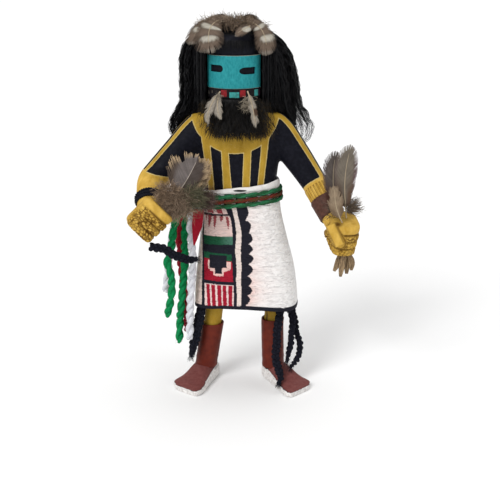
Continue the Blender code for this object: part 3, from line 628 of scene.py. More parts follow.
def fused(name, batch, material, voxel, rounds):
    """The overlapping solids of a batch as one skin of small faces, smoothed a little."""
    obj = mesh_object(name, batch, material)
    step = obj.modifiers.new("fuse", "REMESH")
    step.mode = "VOXEL"
    step.voxel_size = voxel * MM
    graph = bpy.context.evaluated_depsgraph_get()
    mesh = bpy.data.meshes.new_from_object(obj.evaluated_get(graph))
    obj.modifiers.clear()
    obj.data = mesh
    edges = np.empty(len(mesh.edges) * 2, np.int32)
    mesh.edges.foreach_get("vertices", edges)
    a, b = edges.reshape(-1, 2).T
    points = drawn_points(mesh)
    degree = np.bincount(a, minlength=len(points)) + np.bincount(b, minlength=len(points))
    for _ in range(rounds):
        total = np.stack([
            np.bincount(a, points[b, k], len(points)) + np.bincount(b, points[a, k], len(points))
            for k in range(3)
        ], 1)
        points += 0.5 * (total / degree[:, None] - points)
    set_drawn_points(mesh, points)
    mesh.polygons.foreach_set("use_smooth", np.full(len(mesh.polygons), True))
    if not mesh.materials:
        mesh.materials.append(material)
    return obj


def superellipse(angle, half_x, half_y, squareness):
    c, s = np.cos(angle), np.sin(angle)
    x = np.sign(c) * np.abs(c) ** (2 / squareness) * half_x
    y = np.sign(s) * np.abs(s) ** (2 / squareness) * half_y
    return x, y


def stack_rings(table, steps, sides, squareness):
    """Level rings of a smoothed table of (height, x, y, half width, half depth)."""
    rows = spline(table, steps)
    angle = circle(sides)
    rings = []
    for height, x, y, width, depth in rows:
        a, b = superellipse(angle, width, depth, squareness)
        rings.append(np.stack([x + a, y + b, np.full(sides, height)], 1))
    return np.array(rings)


def nearest_on(points, line):
    """(distance, station, index of the segment, share in it) of the nearest place on a line of segments."""
    best = np.full(len(points), 1e9)
    station = np.zeros(len(points))
    for i, (a, b) in enumerate(zip(line, line[1:])):
        along = b - a
        share = np.clip((points - a) @ along / (along @ along), 0, 1)
        distance = np.linalg.norm(points - (a + share[:, None] * along), axis=1)
        closer = distance < best
        best[closer] = distance[closer]
        station[closer] = i + share[closer]
    return best, station


def polygon_distance(x, y, corners):
    """Signed distance to a polygon in the plane, positive inside."""
    corners = np.asarray(corners, float)
    best = np.full(x.shape, 1e9)
    inside = np.zeros(x.shape, bool)
    for (ax, ay), (bx, by) in zip(corners, np.roll(corners, -1, 0)):
        dx, dy = bx - ax, by - ay
        share = np.clip(((x - ax) * dx + (y - ay) * dy) / max(dx * dx + dy * dy, 1e-9), 0, 1)
        best = np.minimum(best, np.hypot(x - ax - share * dx, y - ay - share * dy))
        crosses = (ay > y) != (by > y)
        with np.errstate(divide="ignore", invalid="ignore"):
            inside ^= crosses & (x < dx * (y - ay) / (dy if dy else 1e-9) + ax)
    return np.where(inside, best, -best)


# Materials

class Graph:
    """A Principled material and short calls that add nodes to it."""

    def __init__(self, name, roughness=0.6, **sockets):
        self.material = bpy.data.materials.new(name)
        self.material.use_nodes = True
        self.tree = self.material.node_tree
        self.shader = self.tree.nodes["Principled BSDF"]
        self.shader.inputs["Roughness"].default_value = roughness
        for socket, value in sockets.items():
            self.shader.inputs[socket.replace("_", " ")].default_value = value

    def put(self, socket, value):
        if isinstance(value, bpy.types.NodeSocket):
            self.tree.links.new(value, socket)
        elif isinstance(value, tuple) and len(value) == 3 and socket.type == "RGBA":
            socket.default_value = (*value, 1.0)
        else:
            socket.default_value = value

    def node(self, kind, sockets=(), **settings):
        made = self.tree.nodes.new(kind)
        for name, value in settings.items():
            setattr(made, name, value)
        for key, value in dict(sockets).items():
            self.put(made.inputs[key], value)
        return made

    def field(self, name, output="Fac"):
        return self.node("ShaderNodeAttribute", attribute_name=name).outputs[output]

    def place(self, stretch=(1.0, 1.0, 1.0)):
        """Object coordinates in millimetres, stretched along an axis for brush marks and grain."""
        at = self.node("ShaderNodeTexCoord").outputs["Object"]
        scale = tuple(1.0 / MM * s for s in stretch)
        return self.node("ShaderNodeMapping", {"Vector": at, "Scale": scale}).outputs["Vector"]

    def noise(self, size, detail=3.0, stretch=(1.0, 1.0, 1.0)):
        """Noise whose marks are about size millimetres across."""
        sockets = {"Vector": self.place(stretch), "Scale": 1.0 / size, "Detail": detail, "Roughness": 0.55}
        return self.node("ShaderNodeTexNoise", sockets).outputs["Fac"]

    def span(self, value, low, high, to_low=0.0, to_high=1.0):
        sockets = {"Value": value, "From Min": low, "From Max": high, "To Min": to_low, "To Max": to_high}
        return self.node("ShaderNodeMapRange", sockets).outputs["Result"]

    def maths(self, operation, a, b=0.0):
        made = self.node("ShaderNodeMath", operation=operation)
        self.put(made.inputs[0], a)
        self.put(made.inputs[1], b)
        return made.outputs[0]

    def mix(self, share, a, b, blend="MIX"):
        made = self.node("ShaderNodeMix", data_type="RGBA", blend_type=blend)
        self.put(made.inputs[0], share)
        self.put(made.inputs[6], a)
        self.put(made.inputs[7], b)
        return made.outputs[2]

    def bump(self, height, depth):
        """A bump of depth millimetres where height goes from 0 to 1."""
        sockets = {"Height": height, "Distance": depth * MM, "Strength": 1.0}
        return self.node("ShaderNodeBump", sockets).outputs["Normal"]

    def finish(self, colour=None, roughness=None, normal=None):
        for socket, value in (("Base Color", colour), ("Roughness", roughness), ("Normal", normal)):
            if value is not None:
                self.put(self.shader.inputs[socket], value)
        return self.material


# the body's yellows below are darker than the fists' yellows, though they are one paint: painted shade on
# the body, painted light on the fists, the fluted band and the forearms' fronts
YELLOW = (0.46, 0.285, 0.035)
YELLOW_DEEP = (0.33, 0.195, 0.020)
YELLOW_PALE = (0.56, 0.43, 0.17)
LIT_YELLOW = (0.66, 0.42, 0.085)
LIT_YELLOW_DEEP = (0.47, 0.27, 0.035)
BLACK = (0.0040, 0.0042, 0.0080)
BLACK_WORN = (0.0095, 0.0100, 0.0165)


def painted_wood(name, tone, deep, pits):
    """Yellow over black paint: the field yellow is the distance inside the yellow, in millimetres."""
    g = Graph(name, Specular_IOR_Level=0.09)
    inside = g.maths("ADD", g.field("yellow"), g.span(g.noise(1.6), 0.3, 0.7, -0.18, 0.18))
    black = g.mix(g.span(g.noise(2.6, 4.0), 0.42, 0.75), BLACK, BLACK_WORN)
    patches = g.span(g.noise(5.0, 5.0, (1.0, 1.0, 0.45)), 0.35, 0.70)
    # painted light: the field lit turns the yellow to the fists' lighter yellow
    yellow = g.mix(g.field("lit"), g.mix(patches, tone, deep), g.mix(patches, LIT_YELLOW, LIT_YELLOW_DEEP))
    yellow = g.mix(g.span(g.noise(0.7, 3.0), 0.58, 0.74, 0.0, 0.45), yellow, YELLOW_PALE)
    rim = g.mix(g.span(inside, 0.45, 0.75), YELLOW_PALE, yellow)
    colour = g.mix(g.span(inside, -0.06, 0.06), black, rim)
    # painted shade: dark brown where the field groove is high, in grooves, pits and flutes
    colour = g.mix(g.field("groove"), colour, (0.10, 0.045, 0.006))
    height = g.maths("ADD", g.noise(0.55, 4.0), g.maths("MULTIPLY", g.span(inside, -0.1, 0.3), 0.35))
    roughness = g.span(g.noise(3.0), 0.3, 0.7, 0.48, 0.68)
    return g.finish(colour, roughness, g.bump(height, pits))


def leather(name, tone, second, grain=0.9, depth=0.10, roughness=0.6, mottle=4.0, share=1.0):
    g = Graph(name, roughness, Specular_IOR_Level=0.15)
    colour = g.mix(g.span(g.noise(mottle, 4.0), 0.35, 0.70, 0.0, share), tone, second)
    # painted shade: near-black over the opening in the rolled waist
    colour = g.mix(g.span(g.field("slit"), 0.3, 0.5), colour, (0.006, 0.005, 0.006))
    cells = g.node("ShaderNodeTexVoronoi", {"Vector": g.place(), "Scale": 1.0 / grain}).outputs["Distance"]
    height = g.maths("ADD", g.maths("MULTIPLY", cells, 0.6), g.noise(grain * 0.7, 4.0))
    worn = g.span(g.noise(2.0), 0.3, 0.7, roughness - 0.08, roughness + 0.10)
    return g.finish(colour, worn, g.bump(height, depth))


def coloured(name, roughness, grain=0.3, depth=0.05, variation=0.25, **sockets):
    """A finish whose colour is the mesh's own field paint, with fine variation over it."""
    g = Graph(name, roughness, **sockets)
    worn = g.span(g.noise(grain * 4, 3.0), 0.35, 0.65, 0.0, variation)
    colour = g.mix(worn, g.field("paint", "Color"), (0.02, 0.015, 0.012))
    return g.finish(colour, None, g.bump(g.noise(grain, 3.0), depth))


# The carved and painted wood

# the wood left in the right armpit, behind the large feather
ARMPIT = ((-28.0, -1.0, 194.0), (-33.0, -1.5, 188.5), (-37.0, -2.0, 184.0))


def arm_rows(side):
    return spline(ARMS[side], 10)


def body_batch():
    batch = Batch()
    batch.rings(stack_rings(TORSO, 8, 72, TORSO_SQUARENESS))
    dome = HEAD_TOP - HEAD_RADIUS * 0.36
    profile = spline((
        (HEAD_RADIUS * 0.90, HEAD_BOTTOM),
        (HEAD_RADIUS * 0.985, HEAD_BOTTOM + 2.2),
        (HEAD_RADIUS, HEAD_BOTTOM + 8.0),
        (HEAD_RADIUS, dome - 8.0),
        (HEAD_RADIUS * 0.99, dome),
        (HEAD_RADIUS * 0.92, dome + HEAD_RADIUS * 0.18),
        (HEAD_RADIUS * 0.74, dome + HEAD_RADIUS * 0.30),
        (HEAD_RADIUS * 0.40, HEAD_TOP),
        (HEAD_RADIUS * 0.10, HEAD_TOP + 0.2),
    ), 6)
    batch.rings([level_ring(HEAD_AXIS, circle(72), radius, height) for radius, height in profile])
    batch.tube(np.array(ARMPIT), 6.0, 20)
    for side in ARMS:
        rows = arm_rows(side)
        batch.tube(rows[:, :3], rows[:, 3], 40)
        line = spline(LEGS[side]["line"], 8)
        radii = np.interp(line[:, 2], (60, 88, 114), (LEG_RADIUS, THIGH_RADIUS * 0.97, THIGH_RADIUS))
        batch.tube(line, radii, 36)
    return batch


STRIPES = (
    # height, middle x and half width at the top, then the same at the bottom
    ((204.0, -26.1, 3.4), (165.0, -22.1, 2.5)),
    ((194.5, -11.1, 3.0), (165.0, -9.2, 3.4)),
    ((194.5, 6.5, 3.1), (166.6, 5.4, 3.1)),
    ((204.0, 20.5, 2.9), (167.4, 16.8, 2.5)),
)
# middle x, height and radius of the yellow round of the chest
BIB = (-3.0, 228.3, 35.2)
ARM_STRIPES = {
    # middle angle and half angle from the way that the arm faces, in degrees
    "right": ((46.5, 10.5), (89.0, 12.5)),
    "left": ((46.0, 13.5),),
}
ELBOW_STATION = {"right": 3.55, "left": 4.0}
ELBOW_EDGE = (158.8, 0.28)
VIEW_FROM = np.array([0.0, -0.96, 0.28])


def torso_paint(points):
    x, z = points[:, 0], points[:, 2]
    inside = BIB[2] - np.hypot(x - BIB[0], z - BIB[1])
    for (high, high_x, high_half), (low, low_x, low_half) in STRIPES:
        share = (high - z) / (high - low)
        middle = high_x + (low_x - high_x) * share
        half = high_half + (low_half - high_half) * share
        inside = np.maximum(inside, np.minimum(half - np.abs(x - middle), high + 8.0 - z))
    return inside


def arm_paint(points, side):
    rows = arm_rows(side)
    line, radii = rows[:, :3], rows[:, 3]
    distance, station = nearest_on(points, line)
    low = np.minimum(station.astype(int), len(line) - 2)
    share = (station - low)[:, None]
    centre = line[low] * (1 - share) + line[low + 1] * share
    radius = np.interp(station, np.arange(len(radii)), radii)
    tangent = unit(line[low + 1] - line[low])
    front = unit(VIEW_FROM - tangent * (tangent @ VIEW_FROM)[:, None])
    outer = np.cross(tangent, front)
    outer = outer * np.sign(outer[:, :1]) * (-1.0 if side == "right" else 1.0)
    out = points - centre
    angle = np.degrees(np.arctan2(np.sum(out * outer, 1), np.sum(out * front, 1)))
    inside = np.full(len(points), -9.0)
    for middle, half in ARM_STRIPES[side]:
        inside = np.maximum(inside, np.radians(half - np.abs(angle - middle)) * radius)
    below = (station / 10 - ELBOW_STATION[side]) * 12.0
    if side == "right":
        below = np.where(station < 25.0, -9.0, ELBOW_EDGE[0] - ELBOW_EDGE[1] * points[:, 0] - points[:, 2])
    return distance - radius, np.maximum(inside, below)


def body_paint(points):
    """Distance inside the yellow paint at every point of the body."""
    rows = spline(TORSO, 8)
    x0, y0, width, depth = (np.interp(points[:, 2], rows[:, 0], rows[:, k]) for k in (1, 2, 3, 4))
    n = TORSO_SQUARENESS
    scale = (np.abs((points[:, 0] - x0) / width) ** n + np.abs((points[:, 1] - y0) / depth) ** n) ** (1 / n)
    off = (scale - 1) * np.minimum(width, depth)
    off = np.where(points[:, 2] > TORSO[-1][0] + 1, 99.0, off)
    distances = [np.abs(off)]
    paints = [torso_paint(points)]
    head = np.abs(np.hypot(points[:, 0] - HEAD_AXIS[0], points[:, 1]) - HEAD_RADIUS)
    distances.append(np.where(points[:, 2] > 232, np.minimum(head, 3.0), 99.0))
    paints.append(np.full(len(points), -9.0))
    for side in ARMS:
        away, paint = arm_paint(points, side)
        distances.append(np.abs(away))
        paints.append(np.maximum(paint, torso_paint(points)))
        legs, _ = nearest_on(points, spline(LEGS[side]["line"], 8))
        distances.append(np.where(points[:, 2] < 100, np.abs(legs - LEG_RADIUS), 99.0))
        paints.append(np.where(points[:, 2] < 30, -9.0, 9.0))
    nearest = np.argmin(np.stack(distances), 0)
    return np.choose(nearest, paints)


def carved_body():
    obj = fused("carved_body", body_batch(), painted_wood("body_paint", YELLOW, YELLOW_DEEP, 0.14), 1.2, 3)
    points = drawn_points(obj.data)
    set_field(obj.data, "yellow", body_paint(points))
    # painted light: the forearms' fronts below about 184 mm turn to the fists' lighter yellow through the
    # field lit
    forelimb = (np.abs(points[:, 0]) > 45) & (points[:, 1] < 0)
    set_field(obj.data, "lit", forelimb * np.clip((184.0 - points[:, 2]) / 10.0, 0, 1))
    return obj


def slab_rings(placing, half_u, half_v, low, high, rounding, squareness, sides=40):
    angle = circle(sides)
    rings = []
    turn = np.linspace(0, math.pi / 2, 6)
    steps = [(low + rounding * (1 - math.sin(t)), rounding * (1 - math.cos(t))) for t in turn[::-1]]
    steps += [(high - rounding * (1 - math.sin(t)), rounding * (1 - math.cos(t))) for t in turn]
    for height, inset in steps:
        u, v = superellipse(angle, half_u - inset, half_v - inset, squareness)
        rings.append(np.stack([u, v, np.full(sides, height)], 1) @ placing[:3, :3].T + placing[:3, 3])
    return rings


def placed(offset, degrees=0.0):
    """A placing that moves by offset and turns about Y."""
    c, s = math.cos(math.radians(degrees)), math.sin(math.radians(degrees))
    matrix = np.eye(4)
    matrix[:3, :3] = ((c, 0, s), (0, 1, 0), (-s, 0, c))
    matrix[:3, 3] = offset
    return matrix


def fist_placing(side):
    facts = FISTS[side]
    stack = unit(np.array(facts["stack"]))
    finger = np.array(facts["finger"])
    finger = unit(finger - stack * finger.dot(stack))
    matrix = np.eye(4)
    matrix[:3, 0], matrix[:3, 1], matrix[:3, 2] = finger, np.cross(stack, finger) * facts["back"], stack
    matrix[:3, 3] = facts["centre"]
    return matrix


def carved_fist(side, material):
    """Four curled fingers, the palm and the thumb, carved from one block and left rough, like a cob."""
    placing = fist_placing(side)
    half_length, half_depth = FIST_LENGTH / 2, FIST_DEPTH / 2
    finger = FIST_WIDTH / FINGER_COUNT
    bite = finger * 0.10
    batch = Batch()
    for i in range(FINGER_COUNT):
        low = -FIST_WIDTH / 2 + i * finger
        reach = 1.0 - 0.035 * abs(i - 2)
        across = (half_length * reach, half_depth * reach)
        batch.rings(slab_rings(placing, *across, low - bite, low + finger + bite, finger * 0.40, 3.2))
    palm = placing @ placed((-half_length * 0.42, half_depth * 0.03, 0.0))
    across, span = (half_length * 0.66, half_depth * 1.01), (-FIST_WIDTH * 0.475, FIST_WIDTH * 0.49)
    batch.rings(slab_rings(palm, *across, *span, finger * 0.5, 2.6))
    thumb = placing @ placed((-half_length * 0.02, -half_depth * 0.92, FIST_WIDTH * 0.14), 38.0)
    across, span = (FIST_LENGTH * 0.13, FIST_DEPTH * 0.17), (-FIST_LENGTH * 0.40, FIST_LENGTH * 0.46)
    batch.rings(slab_rings(thumb, *across, *span, finger * 0.25, 4.0))
    rows = arm_rows(side)[-12:]
    batch.tube(rows[:, :3], rows[:, 3] * 0.985, 36)
    if side == "left":
        root, tip = np.array(LEFT_THUMB[0]), np.array(LEFT_THUMB[1])
        reach = np.linalg.norm(tip - root) / 2
        bar = np.eye(4)
        bar[:3, 2] = unit(tip - root)
        bar[:3, 0] = unit(np.cross((0.0, 1.0, 0.0), bar[:3, 2]))
        bar[:3, 1] = np.cross(bar[:3, 2], bar[:3, 0])
        bar[:3, 3] = (root + tip) / 2
        batch.rings(slab_rings(bar, LEFT_THUMB[2], LEFT_THUMB[3], -reach, reach, 1.3, 6.0))
    obj = fused("carved_fist_" + side, batch, material, 0.53, 1)
    points = drawn_points(obj.data)
    normals = np.empty(len(points) * 3, np.float32)
    obj.data.vertices.foreach_get("normal", normals)
    local = (points - placing[:3, 3]) @ placing[:3, :3]
    along = (local[:, 2] + FIST_WIDTH / 2) / finger
    near = np.abs(along - np.round(along)) * finger
    between = (np.round(along) > 0) & (np.round(along) < FINGER_COUNT)
    on_fingers = between & (local[:, 0] > -half_length * 0.45)
    groove = np.exp(-((near / 0.75) ** 2)) * on_fingers
    cells = np.array([noise.voronoi(Vector(p * (0.34, 0.44, 0.56)))[0][:2] for p in local])
    rough = np.clip((local[:, 0] + half_length * 1.15) / (half_length * 0.4), 0, 1)
    rough = rough * np.clip((FIST_WIDTH * 0.30 - local[:, 2]) / 3.0, 0, 1)
    if side == "left":
        past = np.clip(((points - root) @ unit(tip - root)), 0, 2 * reach)
        off = np.linalg.norm(points - root - past[:, None] * unit(tip - root), axis=1)
        bare = np.clip((off - LEFT_THUMB[2] - 1.2) / 0.8, 0, 1)
        in_front = local[:, 0] > half_length * 0.5
        crease = np.exp(-(((off - LEFT_THUMB[2] - 1.0) / 0.7) ** 2)) * in_front * 0.8
        hole = 1.3 * np.exp(-((np.linalg.norm(points - LEFT_GRIP, axis=1) / 3.2) ** 2))
        rough, groove = rough * bare * 0.75, np.maximum(np.maximum(groove * bare, crease), hole)
    patchy = 0.55 + 0.55 * np.clip([0.5 + 1.6 * noise.noise(Vector(p * 0.16)) for p in local], 0, 1)
    pits = np.clip(1.15 - (cells[:, 1] - cells[:, 0]) / 0.32, 0, 1) ** 1.4 * rough * patchy
    depth = 0.75 * groove + 0.60 * pits
    set_drawn_points(obj.data, points - normals.reshape(-1, 3) * depth[:, None])
    set_field(obj.data, "yellow", np.full(len(points), 9.0))
    # painted shade: the field groove darkens the finger grooves, the crease and the grip's hole by the left
    # thumb, and the pits
    set_field(obj.data, "groove", np.clip(np.maximum(groove * 0.95, pits * 1.25), 0, 1))
    return obj


def foot_rows():
    rows = spline(FOOT, 8)
    return rows[np.concatenate([[True], np.diff(rows[:, 0]) > 1e-6])]


def carved_foot(side, material):
    """A moccasin foot. The field sole is the distance below the painted edge of its white sole."""
    facts = LEGS[side]
    turn = math.radians(facts["turn_out"])
    forward = np.array((facts["side"] * math.sin(turn), -math.cos(turn), 0.0))
    outward = np.array((facts["side"] * math.cos(turn), math.sin(turn), 0.0))
    heel = np.array((*facts["heel"], 0.0))
    rings, edges = [], []
    rows = foot_rows()
    ease = [(0.0, 0.80), (0.0, 0.93)]
    stations = [(rows[0], s, -2.0 + 1.2 * i) for i, (_, s) in enumerate(ease)]
    stations += [(row, 1.0, 0.0) for row in rows]
    stations += [(rows[-1], 0.97, 0.8), (rows[-1], 0.88, 1.6), (rows[-1], 0.70, 2.0)]
    for (share, inner, outer, sole, instep), shrink, push in stations:
        middle, half = (inner + outer) / 2, (outer - inner) / 2 * shrink
        top = sole + (instep - sole) * shrink
        rise = top - sole
        outer_side = [
            (half * 0.5, 0.0), (half - 1.2, 0.0), (half - 0.3, 0.9), (half, 2.4), (half - 0.1, sole * 0.75),
            (half - 0.5, sole), (half - 1.6, sole + 0.9), (half * 0.62, sole + rise * 0.74),
            (half * 0.3, sole + rise * 0.95),
        ]
        inner_side = [(-a, b) for a, b in outer_side]
        section = np.array([*inner_side[1::-1], *outer_side, (0.0, top), *inner_side[:1:-1]])
        closed = np.vstack([section, section[:1]])
        fine = spline(closed, 4)[:-1]
        fine[:, 1] = np.maximum(fine[:, 1], 0.0)
        sideways = middle + fine[:, 0]
        slanted = FOOT_TOE_SLANT * np.maximum(0.0, sideways - inner) * share**2
        along = FOOT_LENGTH * share - slanted + push
        ring = heel + along[:, None] * forward + sideways[:, None] * outward
        ring[:, 2] += fine[:, 1]
        rings.append(ring)
        wave = [0.55 * noise.noise(Vector(p) * 0.45) + 0.45 * noise.noise(Vector(p) * 1.3) for p in ring]
        inward = np.clip(-fine[:, 0] / max(half, 1.0), 0, 1) * np.clip(1.3 - share, 0, 1)
        edges.append(sole + 0.15 + 1.6 * inward**2 + np.array(wave) - ring[:, 2])
    edge = np.concatenate([np.concatenate(edges), [edges[0].mean()], [edges[-1].mean()]])
    batch = Batch().rings(rings, sole=edge)
    return mesh_object("carved_foot_" + side, batch, material, sharp=50)


def foot_material():
    g = Graph("foot_paint", 0.55, Specular_IOR_Level=0.15)
    below = g.field("sole")
    upper = g.mix(g.span(g.noise(3.0, 4.0), 0.3, 0.7), (0.150, 0.042, 0.038), (0.200, 0.066, 0.060))
    white = g.mix(g.span(g.noise(2.2, 5.0), 0.4, 0.72), (0.80, 0.78, 0.76), (0.52, 0.49, 0.47))
    line = g.mix(g.span(below, -0.55, -0.10), upper, (0.035, 0.018, 0.022))
    colour = g.mix(g.span(below, -0.05, 0.05), line, white)
    height = g.maths("ADD", g.noise(0.7, 4.0), g.span(below, -0.2, 0.2))
    return g.finish(colour, g.span(g.noise(2.0), 0.3, 0.7, 0.5, 0.7), g.bump(height, 0.16))


# The mask and the band below it

def eye_outline(length, outer, drawn_out):
    half_length, half_height = length / 2, EYE_HEIGHT / 2
    reach = half_height * drawn_out
    outline = [
        (half_length - 0.4, -half_height), (half_length, -half_height + 0.4),
        (half_length, half_height - 0.4), (half_length - 0.4, half_height),
    ]
    for angle in np.linspace(math.pi / 2, 3 * math.pi / 2, 15):
        outline.append((-half_length + reach + math.cos(angle) * reach, math.sin(angle) * half_height))
    return [(a * outer, b) for a, b in outline]


def bent(angle, radius, height):
    """Points round the head's axis, angle 0 being straight towards -Y."""
    return HEAD_AXIS + np.stack([np.sin(angle) * radius, -np.cos(angle) * radius, height], -1)


def plate(name, inside, thickness, bottom, height, material, columns, rows, holes=(), colour=None):
    """A leather plate bent round the head, with holes. The field edge is the distance to a cut edge."""
    middle_radius = inside + thickness
    angle = np.linspace(-FACE_HALF_ANGLE, FACE_HALF_ANGLE, columns)
    level = np.linspace(0, height, rows)
    arc, up = np.meshgrid(angle * middle_radius, level)
    arc, up = arc.copy(), up.copy()
    away = np.minimum(np.minimum(arc - arc.min(), arc.max() - arc), np.minimum(up, height - up))
    keep = np.ones(arc.shape, bool)
    cut = np.zeros(arc.shape, bool)
    for middle, above, outline in holes:
        shift = (math.radians(middle) - FACE_TURN) * middle_radius
        corners = [(a + shift, b + above) for a, b in outline]
        outside = -polygon_distance(arc, up, corners)
        step = 0.01
        slope_a = (-polygon_distance(arc + step, up, corners) - outside) / step
        slope_b = (-polygon_distance(arc, up + step, corners) - outside) / step
        near = np.abs(outside) < 0.17
        arc = np.where(near, arc - outside * slope_a, arc)
        up = np.where(near, up - outside * slope_b, up)
        keep &= outside > -0.17
        away = np.minimum(away, np.where(near, 0.50, np.maximum(outside, 0.0) + 0.50))
        cut |= near
    quads = grid_faces(rows, columns, False)
    quads = quads[keep.ravel()[quads].all(1)]
    used, quads = np.unique(quads, return_inverse=True)
    quads = quads.reshape(-1, 4)
    arc, up, away, cut = (values.ravel()[used] for values in (arc, up, away, cut))
    turned = arc / middle_radius + FACE_TURN
    outer = bent(turned, middle_radius - 0.30 * np.exp(-away / 0.30), up + bottom)
    inner = bent(turned, np.full(len(arc), inside), up + bottom)
    ends = np.concatenate([quads[:, [k, (k + 1) % 4]] for k in range(4)])
    _, first, count = np.unique(np.sort(ends, axis=1), axis=0, return_index=True, return_counts=True)
    rim = ends[first[count == 1]]
    walls = np.stack([rim[:, 1], rim[:, 0], rim[:, 0] + len(arc), rim[:, 1] + len(arc)], 1)
    batch = Batch()
    fields = {"edge": np.concatenate([away, np.where(cut, 0.5, 0.0)])}
    if colour:
        fields["paint"] = np.vstack([colour(np.degrees(turned), up + bottom)] * 2)
    batch.add(np.vstack([outer, inner]), np.vstack([quads, quads[:, ::-1] + len(arc), walls]), **fields)
    return mesh_object(name, batch, material, sharp=60)


def mask_material():
    g = Graph("mask_paint", 0.62, Specular_IOR_Level=0.14)
    streaks = g.span(g.noise(1.5, 5.0, (1.0, 1.0, 0.45)), 0.30, 0.72)
    blue = g.mix(streaks, (0.010, 0.190, 0.215), (0.026, 0.290, 0.310))
    blue = g.mix(g.span(g.noise(0.55, 4.0), 0.60, 0.80, 0.0, 0.6), blue, (0.075, 0.36, 0.37))
    blue = g.mix(g.span(g.noise(0.8, 5.0), 0.62, 0.80, 0.0, 0.5), blue, (0.006, 0.13, 0.15))
    edge = g.maths("ADD", g.field("edge"), g.span(g.noise(0.9), 0.3, 0.7, -0.14, 0.14))
    colour = g.mix(g.span(edge, 0.16, 0.36), (0.24, 0.24, 0.19), blue)
    height = g.maths("ADD", g.noise(0.5, 5.0), g.noise(1.6, 3.0, (1.0, 1.0, 0.35)))
    return g.finish(colour, g.span(g.noise(1.4), 0.3, 0.7, 0.52, 0.74), g.bump(height, 0.20))


BAND_BLOCKS = (
    # from and to in degrees, from and to in height, colour
    (-60.5, -58.6, 239.4, 242.0, (0.30, 0.27, 0.22)),
    (-49.5, -48.0, 240.4, 242.4, (0.22, 0.19, 0.15)),
    (-26.5, -14.8, 238.7, 243.7, (0.30, 0.018, 0.024)),
    (-9.4, 9.2, 238.0, 242.2, (0.055, 0.36, 0.34)),
    (10.8, 22.0, 238.6, 243.6, (0.30, 0.018, 0.024)),
    (42.0, 52.5, 238.6, 243.4, (0.055, 0.36, 0.34)),
    (53.8, 61.5, 238.6, 243.6, (0.06, 0.02, 0.05)),
)


def band_paint(degrees, level):
    colours = np.tile((0.005, 0.005, 0.008), (len(degrees), 1))
    for low, high, bottom, top, colour in BAND_BLOCKS:
        wobble = 0.25 * np.sin(degrees * 1.9)
        inside = (degrees > low) & (degrees < high) & (level > bottom + wobble) & (level < top)
        colours[inside] = colour
    return colours


# Hair

def table_at(table, height):
    rows = spline(table, 6)
    return [np.interp(height, rows[:, 0], rows[:, k]) for k in range(1, rows.shape[1])]


FACE_WINDOW_HALF = (HEAD_RADIUS + GAP + FACE_THICKNESS) * math.sin(FACE_HALF_ANGLE) + GAP
FACE_MIDDLE = HEAD_AXIS[0] + math.sin(FACE_TURN) * HEAD_RADIUS * 0.5


def in_face_window(points, margin=0.0):
    across = np.abs(points[..., 0] - FACE_MIDDLE) < FACE_WINDOW_HALF - margin
    return across & (points[..., 1] < FACE_WINDOW_BACK - margin)


def hair_lines(rng, locks, per_lock, steps, tops, depth, wave):
    """Wavy locks hanging on the hair's own shape, kept clear of the face: (strands, points, 3)."""
    angle = rng.uniform(0, 2 * math.pi, locks)
    back = 0.5 + 0.5 * np.sin(angle)
    left = np.clip(np.cos(angle), 0, 1)
    end = 184.0 + 13.0 * (1 - back) + np.abs(rng.normal(0, 1, locks)) * (7.0 + 13.0 * left)
    end = end + rng.exponential(1.0, locks) * 15.0 * left**2
    top = rng.uniform(*tops, locks)
    phase = rng.uniform(0, 2 * math.pi, (locks, 4))
    pitch = rng.uniform(8.5, 14.0, (locks, 2))
    scale = rng.uniform(*depth, locks)
    lock = np.repeat(np.arange(locks), per_lock)
    count = len(lock)
    share = np.linspace(0, 1, steps)[None]
    ends = end[lock] + rng.normal(0, 1, count) * (3.0 + 5.0 * left[lock])
    height = top[lock][:, None] + (ends - top[lock])[:, None] * share
    down = top[lock][:, None] - height
    x0, y0, width, half_depth = table_at(HAIR, height)
    grows = 0.35 + 0.65 * np.clip(down / 60.0, 0, 1)
    loose = rng.uniform(0, 2 * math.pi, (count, 2))
    turned = angle[lock][:, None] + rng.normal(0, 0.020, (count, 1)) * (0.6 + share)
    turned = turned + wave * grows * np.sin(down * 2 * math.pi / pitch[lock][:, :1] + phase[lock][:, :1])
    turned = turned + 0.009 * np.sin(down * 1.35 + loose[:, :1])
    bulge = 0.018 * np.sin(down * 2 * math.pi / pitch[lock][:, 1:] + phase[lock][:, 1:2])
    bulge = bulge + rng.normal(0, 0.008, (count, 1))
    bulge = bulge + rng.exponential(0.016, (count, 1)) * share**2
    grown = scale[lock][:, None] + bulge
    x, y = superellipse(turned, width * grown, half_depth * grown, HAIR_SQUARENESS)
    lines = np.stack([x0 + x, y0 + y, height], -1)
    blocked = in_face_window(lines, -0.9) & (height < HEAD_TOP + 1.0)
    side = np.sign(lines[..., 0].mean(1, keepdims=True) - FACE_MIDDLE)
    beside = side * (FACE_WINDOW_HALF + rng.exponential(1.3, (count, 1)) + 0.9)
    lines[..., 0] = np.where(blocked, FACE_MIDDLE + beside, lines[..., 0])
    return lines


def strands(name, lines, half_width, material, rng, shade=None):
    """Hairs as narrow ribbons, each turned a little its own way."""
    count, steps = lines.shape[:2]
    normal = lines - np.array((-1.0, 6.0, 0.0))
    normal[..., 2] = 0.0
    normal = unit(unit(normal) + rng.normal(0, 0.45, (count, 1, 3)))
    taper = np.interp(np.linspace(0, 1, steps), (0, 0.1, 0.75, 1), (0.6, 1.0, 0.9, 0.15))
    widths = half_width * rng.uniform(0.6, 1.4, (count, 1)) * taper[None]
    shade = rng.uniform(0, 1, count) if shade is None else shade
    along = np.tile(np.linspace(0, 1, steps), (count, 1))
    return mesh_object(name, Batch().ribbons(lines, widths, normal, shade=shade, along=along), material)


HAIR_LAYERS = (
    # name, half width, locks, strands in each, points, heights of their roots, shares of the depth, wave
    ("hair_outer", 0.20, 400, 6, 26, (284.0, 290.8), (0.95, 1.02), 0.020),
    ("hair_inner", 0.22, 300, 4, 20, (262.0, 290.0), (0.66, 0.95), 0.026),
)
BEARD_TIP = (0.085, 0.050, 0.010)


